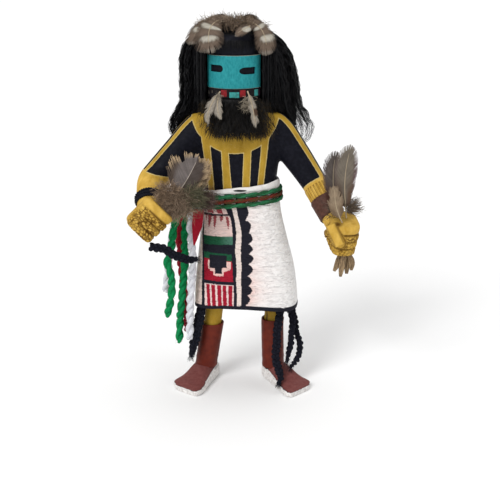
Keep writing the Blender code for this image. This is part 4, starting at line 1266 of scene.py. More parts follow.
def forehead_lines(rng, count):
    """Hair combed down from the crown to the mask's upper edge."""
    angle = rng.uniform(-1.35, 1.35, count)
    share = np.linspace(0, 1, 7)[None]
    fall = rng.uniform(0.55, 1.0, (count, 1))
    height = 287.2 - 16.0 * (share * fall) ** 2.1
    radius = HEAD_RADIUS * np.minimum(1.0, 0.12 + 1.05 * (share * fall) ** 0.55)
    radius = radius + rng.uniform(0.10, 0.6, (count, 1))
    turned = angle[:, None] * (1 + 0.12 * share) + rng.normal(0, 0.04, (count, 1)) * share
    return bent(turned, radius, height)


def beard_fur(rng, count, steps):
    """Short tufts growing down and out from the beard's front, and how near each is to the beard's edge."""
    height = 237.0 - 26.5 * rng.uniform(0, 1, count) ** 1.15
    angle = rng.uniform(-math.pi * 1.06, math.pi * 0.06, count)
    x0, y0, width, depth = table_at(BEARD, height)
    thin = rng.uniform(0, 1, count) < 0.12
    scale = np.where(thin, rng.uniform(0.95, 1.20, count), rng.uniform(0.60, 0.95, count))
    x, y = superellipse(angle, width * scale, depth * scale, BEARD_SQUARENESS)
    root = np.stack([x0 + x, y0 + y, height], 1)
    out = unit(np.stack([x / width**2, y / depth**2, np.zeros(count)], 1))
    drift = out * rng.uniform(0.10, 0.50, (count, 1)) + rng.normal(0, 0.24, (count, 3))
    drift = drift + np.array((0, 0, -1.0))
    reach = rng.uniform(3.5, 8.0, (count, 1, 1))
    curl = unit(rng.normal(0, 1, (count, 3)))
    share = np.linspace(0, 1, steps)[None, :, None]
    lines = root[:, None] + unit(drift)[:, None] * reach * share
    lines = lines + curl[:, None] * reach * 0.13 * np.sin(share * 3.0)
    edge = np.clip(np.abs(np.cos(angle)) ** 3 + np.clip((216.0 - height) / 14.0, 0, 1) - 0.10, 0, 1)
    return lines, edge


def hair_material(name, dark, light, tip=None):
    g = Graph(name, 0.5, Specular_IOR_Level=0.14)
    colour = g.mix(g.span(g.field("shade"), 0.55, 1.0), dark, light)
    if tip:
        near_end, light_hair = g.span(g.field("along"), 0.55, 1.0), g.span(g.field("shade"), 0.1, 0.9)
        colour = g.mix(g.maths("MULTIPLY", near_end, light_hair), colour, tip)
    return g.finish(colour)


def carved_stack(name, table, squareness, shrink, material, keep=None):
    """A dark core under strands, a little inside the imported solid."""
    rows = spline(table, 6)
    rows[:, 3:] -= shrink
    rows = rows[rows[:, 4] > 1.0]
    angle = circle(120)
    rings = []
    for height, x, y, width, depth in rows:
        a, b = superellipse(angle, width, depth, squareness)
        ring = np.stack([x + a, y + b, np.full(120, height)], 1)
        if keep:
            ring = keep(ring)
        rings.append(ring)
    return mesh_object(name, Batch().rings(rings), material)


def hair_core_ring(ring):
    """A ring of the dark core: cut back beside the face, and thin under the loose ends on the left."""
    inside = in_face_window(ring)
    beside = inside & ~(np.roll(inside, 1) & np.roll(inside, -1))
    ring = ring.copy()
    ring[inside, 1] = FACE_WINDOW_BACK
    ring[beside, 0] = FACE_MIDDLE + np.sign(ring[beside, 0] - FACE_MIDDLE) * (FACE_WINDOW_HALF + 0.5)
    low = np.clip((232.0 - ring[0, 2]) / 50.0, 0, 1)
    ring[:, 0] *= np.where(ring[:, 0] > 0, 1 - 0.42 * low, 1 - 0.14 * low)
    return ring


# Kilt

def kilt_row(height):
    rows = spline(KILT, 10)[::-1]
    return [np.interp(height, rows[:, 0], rows[:, k]) for k in range(1, 5)]


def kilt_grid(levels, fractions, inset):
    """The kilt's points at levels from 0, its waist, to 1, its hem, and at fractions of the way round."""
    angle = np.linspace(-math.pi / 2, 3 * math.pi / 2, 2401)
    rings = []
    for level in levels:
        height = KILT[0][0] + (KILT[-1][0] - KILT[0][0]) * level
        x0, width, depth, squareness = kilt_row(height)
        x, y = superellipse(angle, width - inset, depth - inset, squareness)
        at = np.concatenate([[0], np.cumsum(np.hypot(np.diff(x), np.diff(y)))])
        a, b = (np.interp(np.asarray(fractions) % 1.0 * at[-1], at, v) for v in (x, y))
        number = np.interp(-height, [-row[0] for row in KILT], np.arange(len(KILT)))
        turn = KILT_TURN * number / (len(KILT) - 1)
        lean = max(0.0, 1.0 - number / 3.0)
        px = a * math.cos(turn) - b * math.sin(turn) + x0
        py = a * math.sin(turn) + b * math.cos(turn)
        hem = np.interp(px, [p[0] for p in HEM], [p[1] for p in HEM])
        bent_up = (hem - KILT[-1][0]) * max(0.0, (HEM_BENDS_FROM - height) / (HEM_BENDS_FROM - KILT[-1][0]))
        rings.append(np.stack([px, py, height + a * KILT_WAIST_TILT * lean + bent_up], 1))
    return np.array(rings)


# the painting on the kilt's front: its colours, then its shapes by x and height
WHITE = (0.86, 0.85, 0.84)
BLUSH = (0.80, 0.56, 0.51)
PINK = (0.80, 0.58, 0.54)
PAINT_BLACK = (0.012, 0.012, 0.020)
PAINT_RED = (0.36, 0.010, 0.028)
PAINT_GREEN = (0.010, 0.085, 0.038)
LINE_INNER = (
    (-28.0, 150.0), (-28.0, 142.6), (-28.2, 127.4), (-28.1, 106.3), (-28.0, 92.0), (-27.8, 66.0),
)
LINE_OUTER = (
    (-29.5, 150.0), (-29.5, 141.8), (-29.6, 126.9), (-29.5, 105.9), (-30.0, 91.5), (-30.4, 66.0),
)
PANEL_RIGHT = (
    (-11.8, 152.0), (-8.9, 145.0), (-6.8, 141.9), (-5.8, 135.5), (-5.3, 128.5), (-5.1, 121.4),
    (-5.9, 115.6), (-6.1, 109.2), (-5.2, 101.4), (-5.2, 93.4), (-4.5, 89.1), (-4.6, 66.0),
)
STRIP_LEFT = (
    (-6.2, 152.0), (-5.8, 149.7), (-4.4, 144.1), (-3.2, 138.4), (-2.3, 129.9), (-2.8, 122.8),
    (-3.4, 115.7), (-2.5, 108.6), (-2.1, 101.5), (-2.6, 92.8), (-2.0, 83.3), (-1.8, 66.0),
)
STRIP_RIGHT = (
    (-2.8, 152.0), (-2.2, 150.1), (-1.1, 144.1), (0.3, 138.5), (1.9, 130.0), (1.6, 122.9), (1.2, 115.8),
    (1.4, 108.7), (1.8, 101.6), (1.4, 94.4), (1.7, 83.5), (1.2, 66.0),
)
SCALLOPS = (
    # valley, then the peak below it
    ((5.0, 152.0), (7.4, 146.6)),
    ((4.6, 140.3), (9.3, 137.1)),
    ((7.6, 130.2), (10.8, 125.8)),
    ((7.2, 121.4), (10.8, 117.7)),
    ((7.2, 113.4), (11.6, 110.6)),
    ((6.9, 105.3), (10.9, 101.8)),
    ((6.2, 95.9), (10.1, 92.4)),
    ((7.2, 88.0), (10.4, 84.5)),
    ((6.2, 79.9), (8.8, 77.4)),
    ((5.4, 72.5), (5.4, 66.0)),
)
PANEL_LEVELS = (
    # top edge of each block at the left and at the right of the panel, and its colour
    (149.0, 150.5, PINK),
    (144.6, 145.2, PAINT_BLACK),
    (142.5, 143.8, PINK),
    (126.7, 127.6, PAINT_GREEN),
    (119.7, 121.0, PAINT_BLACK),
    (113.8, 113.2, PAINT_GREEN),
    (108.7, 107.6, PAINT_RED),
    (91.2, 91.0, PAINT_BLACK),
    (88.5, 88.3, (0.80, 0.60, 0.57)),
)
STEPS_BLACK = (
    (-23.7, 112.0), (-23.8, 101.1), (-19.4, 101.4), (-19.5, 96.9), (-13.7, 97.2), (-13.7, 102.0),
    (-10.1, 102.3), (-10.1, 112.0),
)
STEPS_PINK = (
    (-25.1, 107.8), (-25.0, 100.7), (-23.2, 100.4), (-23.2, 98.9), (-20.7, 98.7), (-20.6, 95.9),
    (-17.7, 95.0), (-12.6, 95.5), (-12.2, 98.9), (-9.8, 99.6), (-6.8, 101.2), (-6.8, 107.2),
)
LOWER_STRIPES = (
    # left and right at the top, left and right at the bottom
    (-26.2, -24.2, -25.6, -23.4),
    (-22.2, -19.9, -21.6, -19.1),
    (-17.6, -15.0, -17.1, -14.4),
    (-13.0, -10.9, -12.8, -10.2),
    (-8.6, -5.9, -8.4, -6.0),
)
STREAKS = (
    ((-26.6, 144.5), (-25.3, 144.5), (-25.7, 139.0), (-26.3, 139.0)),
    ((-24.8, 144.5), (-21.6, 144.5), (-22.4, 137.8), (-23.8, 133.6), (-24.7, 134.5)),
    ((-20.6, 144.5), (-17.6, 144.5), (-18.3, 138.3), (-19.6, 132.9), (-20.4, 136.0)),
    ((-15.9, 144.5), (-12.2, 144.5), (-13.2, 140.4), (-14.8, 138.4)),
    ((-11.3, 144.5), (-9.0, 144.5), (-7.6, 138.3), (-8.6, 132.4), (-9.6, 137.0)),
)
PATCH_STREAKS = (
    ((-26.0, 149.5), (-22.0, 149.5), (-20.0, 145.2), (-25.0, 145.2)),
    ((-19.0, 150.0), (-14.0, 150.0), (-13.0, 145.2), (-17.0, 145.2)),
)
HEM_TOP = (
    (-60.0, 69.0), (-35.6, 69.0), (-14.9, 71.0), (6.5, 71.6), (20.7, 71.3), (35.0, 69.8), (60.0, 68.4),
)
HEM = (
    (-60.0, 66.0), (-35.6, 66.2), (-15.0, 68.3), (6.5, 68.4), (20.8, 67.8), (38.7, 66.2), (60.0, 65.2),
)
HEM_BENDS_FROM = 100.0


def edge_at(corners, height):
    """The x of an edge drawn from top to bottom, at each height."""
    rows = np.array(corners)[::-1]
    return np.interp(height, rows[:, 1], rows[:, 0])


def scallop_edge(height):
    """The x of the black border's scalloped edge."""
    x = np.full(height.shape, SCALLOPS[0][0][0])
    for (valley, peak), (below, _) in zip(SCALLOPS, SCALLOPS[1:]):
        down = (valley[1] - height) / (valley[1] - peak[1])
        inside = (down >= 0) & (down <= 1)
        x = np.where(inside, valley[0] + (peak[0] - valley[0]) * np.clip(down, 0, 1) ** 0.42, x)
        rest = (peak[1] - height) / (peak[1] - below[1])
        inside = (rest > 0) & (rest < 1)
        x = np.where(inside, peak[0] + (below[0] - peak[0]) * np.clip(rest, 0, 1) ** 1.7, x)
    return np.where(height < SCALLOPS[-1][0][1], SCALLOPS[-1][0][0], x)


def kilt_paint(points):
    """The painted leather's colour at every point of the kilt's outside."""
    x, y, z = points.T
    wobble = np.array([noise.noise(Vector((a * 0.5, 0.0, c * 0.5))) for a, c in zip(x, z)]) * 0.22
    u, v = x + wobble, z - wobble
    colours = np.tile(WHITE, (len(points), 1))
    front = y < -8.0

    def paint(where, colour, strength=1.0):
        share = np.clip(np.asarray(where, float) * strength, 0, 1)[:, None] * front[:, None]
        colours[:] = colours * (1 - share) + np.array(colour) * share

    scallop = scallop_edge(v)
    blush = np.exp(-np.maximum(u - scallop, 0) / 9.0) * (0.45 + 0.55 * np.exp(-(((v - 80) / 22.0) ** 2)))
    paint((u > scallop) * blush, BLUSH, 0.95)
    paint((u > -36) & (u < edge_at(LINE_OUTER, v)), (0.74, 0.60, 0.53))
    inner, right = edge_at(LINE_INNER, v), edge_at(PANEL_RIGHT, v)
    across = np.clip((u + 28.0) / 22.0, 0, 1)
    panel = (u > inner) & (u < right)
    for left_top, right_top, colour in PANEL_LEVELS:
        paint(panel & (v < left_top + (right_top - left_top) * across), colour)
    pale = panel & (v < 142.5) & (v > 127.0)
    paint(pale, (0.80, 0.61, 0.56), 0.6)
    for corners in STREAKS:
        feather = polygon_distance(u, v, corners) + 0.25 * np.sin(v * 3.1 + u * 2.0)
        paint(panel & (v < 143.2) & (feather > 0), (0.30, 0.012, 0.025), 0.88)
    for corners in PATCH_STREAKS:
        paint(panel & (v > 144.8) & (polygon_distance(u, v, corners) > 0), PAINT_RED, 0.9)
    green_light = panel & (v < 127.4) & (v > 121.0) & (u > -16)
    paint(green_light * np.clip((u + 16) / 8, 0, 1), (0.09, 0.22, 0.16), 0.7)
    paint(polygon_distance(u, v, STEPS_PINK) > 0, (0.78, 0.50, 0.45))
    paint(polygon_distance(u, v, STEPS_BLACK) > 0, PAINT_BLACK)
    drop = np.clip((88.4 - v) / 17.0, 0, 1)
    for top_left, top_right, low_left, low_right in LOWER_STRIPES:
        low = top_left - 0.25 + (low_left - top_left) * drop
        high = top_right + 0.35 + (low_right - top_right) * drop
        paint(panel & (v < 88.0) & (u > low) & (u < high), PAINT_RED)
    paint((u > edge_at(LINE_OUTER, v)) & (u < inner), PAINT_BLACK)
    paint((u > right) & (u < edge_at(STRIP_LEFT, v)), PAINT_BLACK)
    strip = (u > edge_at(STRIP_LEFT, v)) & (u < edge_at(STRIP_RIGHT, v))
    paint(strip, (0.78, 0.66, 0.60))
    paint((u > edge_at(STRIP_RIGHT, v)) & (u < scallop), PAINT_BLACK)
    front[:] = True
    paint(z - wobble * 0.6 < np.interp(x, [p[0] for p in HEM_TOP], [p[1] for p in HEM_TOP]), PAINT_BLACK)
    return colours


def kilt_material():
    g = Graph("kilt_leather", 0.74, Specular_IOR_Level=0.12)
    paint = g.field("paint", "Color")
    shaded = g.mix(1.0, paint, (0.60, 0.58, 0.62), "MULTIPLY")
    brushed = g.mix(g.span(g.noise(1.1, 5.0, (1.0, 1.0, 0.5)), 0.35, 0.72, 0.0, 0.55), paint, shaded)
    wrinkle = g.node("ShaderNodeTexNoise", {
        "Vector": g.place((0.34, 0.34, 1.05)),
        "Scale": 0.46,
        "Detail": 1.6,
        "Roughness": 0.40,
        "Distortion": 1.3,
    }).outputs["Fac"]
    # painted shade: the pale paint is darkened in the wrinkles' creases
    crease_shade = g.mix(g.span(wrinkle, 0.54, 0.28, 0.0, 0.36), paint, (0.50, 0.46, 0.46))
    colour = g.mix(g.field("pale"), brushed, crease_shade)
    height = g.maths("ADD", wrinkle, g.maths("MULTIPLY", g.noise(0.5, 3.0), 0.10))
    return g.finish(colour, g.span(g.noise(1.0), 0.3, 0.7, 0.62, 0.82), g.bump(height, 1.9))


def kilt():
    hem = 226.0
    fine = np.arange(-50.0, 14.0, 0.42) / hem
    coarse = np.arange(14.0, hem - 50.0, 2.0) / hem
    fractions = np.concatenate([fine, coarse])
    levels = np.linspace(0, 1, 200)
    outer = kilt_grid(levels, fractions, 0.0)
    inner = kilt_grid(np.linspace(0, 1, 14), fractions, KILT_THICKNESS)
    columns = len(fractions)
    points = outer.reshape(-1, 3)
    colours = kilt_paint(points)
    pale = (colours.min(1) > 0.30).astype(float)
    count = len(points)
    inside = inner.reshape(-1, 3)
    quads_in = grid_faces(len(inner), columns, True)[:, ::-1] + count
    around, after = ring_steps(columns)
    rims = []
    for outer_row, inner_row, turn in ((0, 0, 1), (len(outer) - 1, len(inner) - 1, -1)):
        a, b = outer_row * columns, count + inner_row * columns
        rims.append(np.stack([b + around, b + after, a + after, a + around], 1)[:, ::turn])
    lining = np.tile((0.45, 0.40, 0.36), (len(inside), 1))
    lining[-columns:] = PAINT_BLACK
    batch = Batch().add(
        np.vstack([points, inside]),
        np.vstack([grid_faces(len(outer), columns, True), quads_in, *rims]),
        paint=np.vstack([colours, lining]),
        pale=np.concatenate([pale, np.zeros(len(inside))]),
    )
    return mesh_object("painted_kilt", batch, kilt_material(), sharp=50)


def waist_line(height, out, count):
    """A closed line round the kilt's waist, leaning as the waist does."""
    x0, width, depth, squareness = kilt_row(height)
    angle = np.linspace(0, 2 * math.pi, 1441)
    a, b = superellipse(angle, width + out, depth + out, squareness)
    at = np.concatenate([[0], np.cumsum(np.hypot(np.diff(a), np.diff(b)))])
    want = np.linspace(0, at[-1], count, endpoint=False)
    a, b = np.interp(want, at, a), np.interp(want, at, b)
    return np.stack([x0 + a, b, height + a * KILT_WAIST_TILT], 1)


# middle x and height, half width and half height of the opening in the rolled waist, painted near-black on
# the roll as painted shade
WAIST_SLIT = (0.6, 164.1, 5.6, 0.85)


def waist_roll(material):
    """The kilt's top edge, folded over into a flat roll above the belt."""
    count, sides = 260, 20
    line = waist_line(KILT[0][0], 0.2, count)
    outward = unit(np.cross(np.roll(line, -1, 0) - np.roll(line, 1, 0), (0, 0, 1.0)))
    angle = circle(sides)
    rings = []
    for i, (point, out) in enumerate(zip(line, outward)):
        lift = 2.25 + 0.030 * point[0] + 0.3 * math.sin(i * 0.11)
        lift += 0.8 * noise.noise(Vector((i * 0.05, 0, 3.0)))
        thick = 1.25 + 0.35 * noise.noise(Vector((i * 0.09, 2.0, 0)))
        middle = point + np.array((0, 0, 2.1)) + out * (-0.4)
        rings.append([
            middle + out * (math.cos(t) * thick) + np.array((0, 0, math.sin(t) * lift)) for t in angle
        ])
    points = np.array(rings).reshape(-1, 3)
    quads = np.vstack([grid_faces(count, sides, True), closing_quads(count, sides)])
    x, z, half_width, half_height = WAIST_SLIT
    off = np.hypot((points[:, 0] - x) / half_width, (points[:, 2] - z) / half_height)
    # painted shade over the opening, on the roll's front only
    slit = np.clip(1.4 - off, 0, 1) * (points[:, 1] < 0)
    return mesh_object("waist_roll", Batch().add(points, quads, slit=slit), material)


def belt_row(name, height, materials, rng):
    """One row of the belt: two fuzzy plies twisted together round the waist."""
    count, sides = 270, 8
    line = waist_line(height, BELT_YARN / 2 - 0.4, count)
    outward = unit(np.cross(np.roll(line, -1, 0) - np.roll(line, 1, 0), (0, 0, 1.0)))
    up = np.tile((0, 0, 1.0), (count, 1))
    turns = 9
    pieces = []
    for ply, material in enumerate(materials):
        phase = np.linspace(0, 2 * math.pi * turns, count, endpoint=False) + math.pi * ply
        middle = line + (outward * np.cos(phase)[:, None] * 0.25 + up * np.sin(phase)[:, None] * 0.62)
        place = np.arange(count)
        uneven = 1.30 + 0.12 * np.sin(place * 0.37 + ply * 2) + 0.07 * np.sin(place * 1.3)
        rings = tube_points(middle, uneven, sides, (outward, up)).reshape(-1, 3)
        quads = np.vstack([grid_faces(count, sides, True), closing_quads(count, sides)])
        batch = Batch().add(rings, quads, shade=0.5)
        fuzz(batch, middle, 1.3, 600, rng, 0.8, 0.06)
        pieces.append(mesh_object(name + "_ply_%d" % (ply + 1), batch, material))
    return pieces


# Yarn and braids

def fuzz(batch, line, radius, count, rng, reach=1.2, width=0.055):
    """Short loose fibres round a cord."""
    side, up = rolling_frames(line)
    tangent = np.cross(side, up)
    at = rng.integers(0, len(line) - 1, count)
    around = rng.uniform(0, 2 * math.pi, count)
    out = np.cos(around)[:, None] * side[at] + np.sin(around)[:, None] * up[at]
    across = np.cross(tangent[at], out)
    lean = rng.normal(0, 0.7, (count, 1))
    drift = unit(tangent[at] * rng.choice((-1.0, 1.0), (count, 1)) + across * lean)
    length = rng.uniform(0.6, 1.0, (count, 1)) * reach * 2.0
    lift = rng.uniform(0.1, 1.0, (count, 1)) * reach
    share = np.linspace(0, 1, 4)[None, :, None]
    base = line[at] + out * radius * 0.86
    lines = base[:, None] + drift[:, None] * length[:, None] * share
    lines = lines + out[:, None] * lift[:, None] * np.sin(share * 2.2) * 0.8
    batch.ribbons(lines, width, np.repeat(out[:, None], 4, 1), shade=rng.uniform(0, 1, count))
    return batch


def twisted_cord(batch, line, diameter, plies, pitch):
    """Plies wound round each other along a line."""
    at = lengths_along(line)
    side, up = rolling_frames(line)
    end = np.clip((at[-1] - at) / diameter, 0.0, 1.0)
    slim = 0.62 + 0.38 * np.sqrt(end)
    for ply in range(plies):
        phase = 2 * math.pi * (at / pitch + ply / plies) + 0.5 * np.sin(at * 0.23 + line[0, 0])
        offset = diameter * 0.235 * slim
        middle = line + side * (np.cos(phase) * offset)[:, None] + up * (np.sin(phase) * offset)[:, None]
        radii = diameter * 0.315 * slim * (1 + 0.10 * np.sin(at * 0.9 + ply * 2 + line[0, 0]))
        batch.tube(middle, radii, 8, shade=np.full(len(line), 0.5))
    return batch


def braided_cord(batch, line, diameter, pitch, fullness):
    """Three strands braided flat along a line. fullness is how far they fill out the diameter."""
    at = lengths_along(line)
    _, side, face = frames_along(line, (0.15, -1.0, 0.2))
    end = np.clip((at[-1] - at) / (diameter * 2.0), 0.0, 1.0)
    slim = fullness * (0.45 + 0.55 * end**0.7) * (1 + 0.15 * np.sin(at * 1.35 + line[0, 0]))
    for strand in range(3):
        phase = 2 * math.pi * (at / pitch + strand / 3)
        x = np.cos(phase) * diameter * 0.33 * slim
        y = np.sin(2 * phase) * diameter * 0.22 * slim
        middle = line + side * x[:, None] + face * y[:, None]
        radii = diameter * 0.29 * slim * (1 + 0.12 * np.sin(at * 2.3 + strand * 2))
        batch.tube(middle, radii, 9, shade=np.full(len(line), 0.5))
    return batch


def frayed_end(batch, line, diameter, count, length, rng, width=0.09):
    """Loose ends of yarn that spread from a cord's last point."""
    tangent = unit(line[-1] - line[-4])
    side, up = rolling_frames(line[-6:])
    around = rng.uniform(0, 2 * math.pi, count)
    out = np.cos(around)[:, None] * side[-1] + np.sin(around)[:, None] * up[-1]
    radius = diameter * 0.32 * np.sqrt(rng.uniform(0, 1, (count, 1)))
    base = line[-1] - tangent * 1.5 + out * radius
    share = np.linspace(0, 1, 6)[None, :, None]
    reach = rng.uniform(0.4, 1.0, (count, 1, 1)) * length
    spread = rng.uniform(0.1, 0.55, (count, 1, 1))
    lines = base[:, None] + (tangent * reach * share) + out[:, None] * share**1.5 * spread * length
    lines[..., 2] -= (share[..., 0] ** 2) * reach[..., 0] * 0.2
    lines[..., 2] = np.maximum(lines[..., 2], 0.3)
    batch.ribbons(lines, width, np.repeat(out[:, None], 6, 1), shade=rng.uniform(0, 1, count))
    return batch


def fibre_material(name, tone, second):
    g = Graph(name, 0.9, Specular_IOR_Level=0.08)
    base = g.mix(g.span(g.noise(0.9, 5.0), 0.35, 0.68), tone, second)
    colour = g.mix(g.span(g.field("shade"), 0.5, 1.0, 0.0, 0.6), base, second)
    height = g.maths("ADD", g.noise(0.25, 4.0), g.noise(0.8, 3.0, (1.0, 1.0, 0.4)))
    return g.finish(colour, None, g.bump(height, 0.20))


FIBRES = {
    "green_yarn": ((0.003, 0.155, 0.046), (0.012, 0.300, 0.100)),
    "belt_green": ((0.010, 0.085, 0.036), (0.040, 0.200, 0.090)),
    "red_yarn": ((0.060, 0.022, 0.012), (0.200, 0.026, 0.018)),
    "mixed_yarn": ((0.024, 0.050, 0.020), (0.150, 0.030, 0.018)),
    "bright_red": ((0.300, 0.010, 0.024), (0.480, 0.030, 0.050)),
    "white_yarn": ((0.60, 0.61, 0.66), (0.80, 0.80, 0.83)),
    "black_yarn": ((0.0045, 0.0048, 0.009), (0.016, 0.017, 0.026)),
    "dark_green": ((0.010, 0.060, 0.025), (0.030, 0.110, 0.045)),
}
BELT_ROWS = (
    # row, then the fibres of its two plies
    ("green_upper", "belt_green", "dark_green"),
    ("red_middle", "red_yarn", "mixed_yarn"),
    ("green_lower", "dark_green", "belt_green"),
)


def declared_cord(obj, node, slot, loose):
    own(obj, slot, node)
    own(loose, slot)


# Feathers

VANE = (
    (0.0, 0.2), (0.12, 0.52), (0.35, 0.86), (0.6, 1.0), (0.82, 0.9), (0.94, 0.66), (1.0, 0.36),
    (1.04, 0.0),
)
FAN = (
    (0.0, 0.25), (0.3, 0.6), (0.55, 0.84), (0.75, 1.0), (0.9, 0.97), (1.0, 0.74), (1.05, 0.4),
    (1.08, 0.0),
)
ROUND = ((0.0, 0.3), (0.25, 0.8), (0.6, 1.0), (0.84, 0.94), (0.96, 0.66), (1.02, 0.34), (1.05, 0.0))
SLIM = ((0.0, 0.3), (0.25, 0.85), (0.55, 1.0), (0.8, 0.72), (0.95, 0.36), (1.02, 0.0))
HAND_UPPER = (
    (0.0, 0.22), (0.2, 0.7), (0.5, 0.96), (0.74, 1.0), (0.88, 0.86), (1.0, 0.48), (1.06, 0.12),
    (1.08, 0.0),
)
HAND_LOWER = ((0.0, 0.18), (0.3, 0.52), (0.6, 0.72), (0.85, 0.7), (1.0, 0.36), (1.05, 0.0))


def read_along(values, at, want):
    return np.stack([np.interp(want, at, values[:, k]) for k in range(values.shape[1])], -1)


def vane_at(share, bare, outline):
    t = (share - bare) / (1.0 - bare)
    return np.interp(t, [p[0] for p in outline], [p[1] for p in outline], right=0.0)


def feather_batch(batch, route, face, half_width, bare, look, rng, spacing=0.30):
    """A shaft with barbs on both sides. look has each side's outline, the barbs' slopes and the colours."""
    line = evenly(spline(route, 12), 61)
    at = lengths_along(line)
    length = at[-1]
    _, side, out = frames_along(line, face)
    far_line = np.vstack([line, line[-1] + unit(line[-1] - line[-3]) * 12.0])
    far_at = np.append(at, length + 12.0)
    far_side, far_out = np.vstack([side, side[-1:]]), np.vstack([out, out[-1:]])
    last = look.get("last", 0.87)
    shown = at <= length * (last + 0.03)
    radii = np.interp(at / length, (0, 0.25, 1.0), (0.58, 0.42, 0.10))
    rows = at[shown] / length
    shaft = look["paint"](rows, np.zeros(len(rows)), rows * 0, 0)
    shaft = blend(shaft, np.full(len(rows), 0.85), look.get("shaft", SHAFT))
    batch.tube((line + out * 0.10)[shown], radii[shown], 7, paint=shaft)
    for sign, outline in zip((-1.0, 1.0), look["outlines"]):
        count = int(length * (last - bare) / spacing)
        start = np.linspace(bare, last, count) * length + rng.uniform(-0.4, 0.4, count) * spacing
        groups = np.cumsum(rng.uniform(0, 1, count) < look.get("splits", 0.07))
        own_turn = rng.normal(0, look.get("unrest", 1.6), groups.max() + 1)[groups]
        steps = np.linspace(0, 1, 4)
        at_root = (start / length - bare) / (last - bare)
        slope = np.interp(at_root, steps, look.get("slopes", (62, 56, 44, 5)))
        slope = np.radians(np.maximum(2.0, slope + own_turn + rng.normal(0, 0.7, count)))
        low, high = np.zeros(count), np.full(count, 2.6 * half_width)
        for _ in range(16):
            reach = (low + high) / 2
            reached = half_width * vane_at((start + reach * np.cos(slope)) / length, bare, outline)
            fits = reach * np.sin(slope) < reached
            low, high = np.where(fits, reach, low), np.where(fits, high, reach)
        ragged = look.get("ragged", 0.05)
        uneven = rng.normal(0, ragged * 0.5, groups.max() + 1)[groups]
        reach = low * (1 + uneven - rng.uniform(0, ragged, count))
        q = np.linspace(0, 1, 8)[None]
        lateral = (reach * np.sin(slope))[:, None] * q**0.93
        where = start[:, None] + (reach * np.cos(slope))[:, None] * q**1.12
        centre = read_along(far_line, far_at, where)
        across, above = read_along(far_side, far_at, where), read_along(far_out, far_at, where)
        ripple = 0.30 * np.sin(start * 0.55 + sign)[:, None] * q**2
        camber = -look.get("cup", 0.010) * lateral**2 + ripple + rng.normal(0, 0.08, (count, 1)) * q
        lines = centre + across * (sign * lateral)[..., None] + above * camber[..., None]
        widths = np.interp(q, (0, 0.6, 1.0), (0.25, 0.22, look.get("tips", 0.07)))
        over = lateral / np.maximum(half_width * vane_at(where / length, bare, outline), 0.5)
        colours = look["paint"](where / length, np.minimum(over, 1.2), q + over * 0, sign)
        light = rng.uniform(0.84, 1.10, (count, 1, 1))
        batch.ribbons(lines, np.tile(widths, (count, 1)), above, paint=colours * light)
        web = (lines - above * 0.14)[::6, :6]
        batch.add(web, grid_faces(len(web), 6, False), paint=0.8 * colours[::6, :6].reshape(-1, 3))
    return batch


def down(batch, centre, spread, count, reach, pull, tone, rng, width=0.15):
    """Soft curling down round a place, leaning towards pull."""
    root = np.asarray(centre, float) + np.clip(rng.normal(0, 1, (count, 3)), -1.5, 1.5) * spread
    away = unit(rng.normal(0, 1, (count, 3)) * (1.0, 0.5, 1.0) + np.asarray(pull, float))
    curl = unit(rng.normal(0, 1, (count, 3)))
    q = np.linspace(0, 1, 6)[None, :, None]
    length = rng.uniform(0.3, 1.0, (count, 1, 1)) * reach
    lines = root[:, None] + away[:, None] * length * q + curl[:, None] * length * 0.20 * np.sin(q * 2.6)
    shade = rng.uniform(0.45, 1.35, (count, 1, 1)) * (0.75 + 0.35 * q)
    widths = width * np.interp(q[0, :, 0], (0, 0.7, 1), (1.0, 0.8, 0.3))
    normal = np.repeat(unit(np.cross(away, curl) + rng.normal(0, 0.3, (count, 3)))[:, None], 6, 1)
    batch.ribbons(lines, np.tile(widths, (count, 1)), normal, paint=shade * np.array(tone))


def blend(colours, share, colour):
    share = np.clip(share, 0, 1)[..., None]
    return colours * (1 - share) + np.array(colour) * share


BROWN_DARK = (0.050, 0.034, 0.024)
BROWN = (0.150, 0.108, 0.080)
CREAM = (0.46, 0.43, 0.365)
SHAFT = (0.46, 0.37, 0.25)


def soft_step(value, edge, width):
    return np.clip((value - edge) / width + 0.5, 0, 1)


def tones(base, along):
    return np.tile(base, along.shape + (1,)).astype(float)


def barred(bars, base=BROWN, dark=BROWN_DARK):
    """Brown with cream bars: middle and half length along the shaft, and how far across on each side."""

    def paint(along, across, q, sign):
        colours = blend(tones(base, along), soft_step(across, 0.72, 0.4) * 0.6, dark)
        for middle, half, reach_right, reach_left in bars:
            reach = reach_right if sign < 0 else reach_left
            round_off = np.clip(across / max(reach, 0.1), 0, 1) ** 3 * half * 0.55
            off = np.abs(along - middle + 0.03 * across**2) + round_off
            colours = blend(colours, soft_step(half + 0.030 - off, 0.0, 0.03) * 0.6, dark)
            pale = soft_step(half - off, 0.0, 0.028) * soft_step(reach - across, 0.0, 0.20)
            colours = blend(colours, pale, CREAM)
        return blend(colours, soft_step(along, 0.985, 0.03) * 0.35, CREAM)

    return paint


def chin_paint(along, across, q, sign):
    colours = tones((0.34, 0.305, 0.255), along)
    colours = blend(colours, soft_step(across, 0.6, 0.6) * 0.5, (0.21, 0.18, 0.145))
    return blend(colours, (0.5 + 0.5 * np.sin(along * 55 + across * 7)) * 0.30, (0.15, 0.12, 0.09))


def spotted_chin_paint(along, across, q, sign):
    spot = soft_step(0.10 - np.abs(along - 0.60), 0.0, 0.05) * (sign < 0)
    return blend(chin_paint(along, across, q, sign), spot, (0.075, 0.045, 0.03))


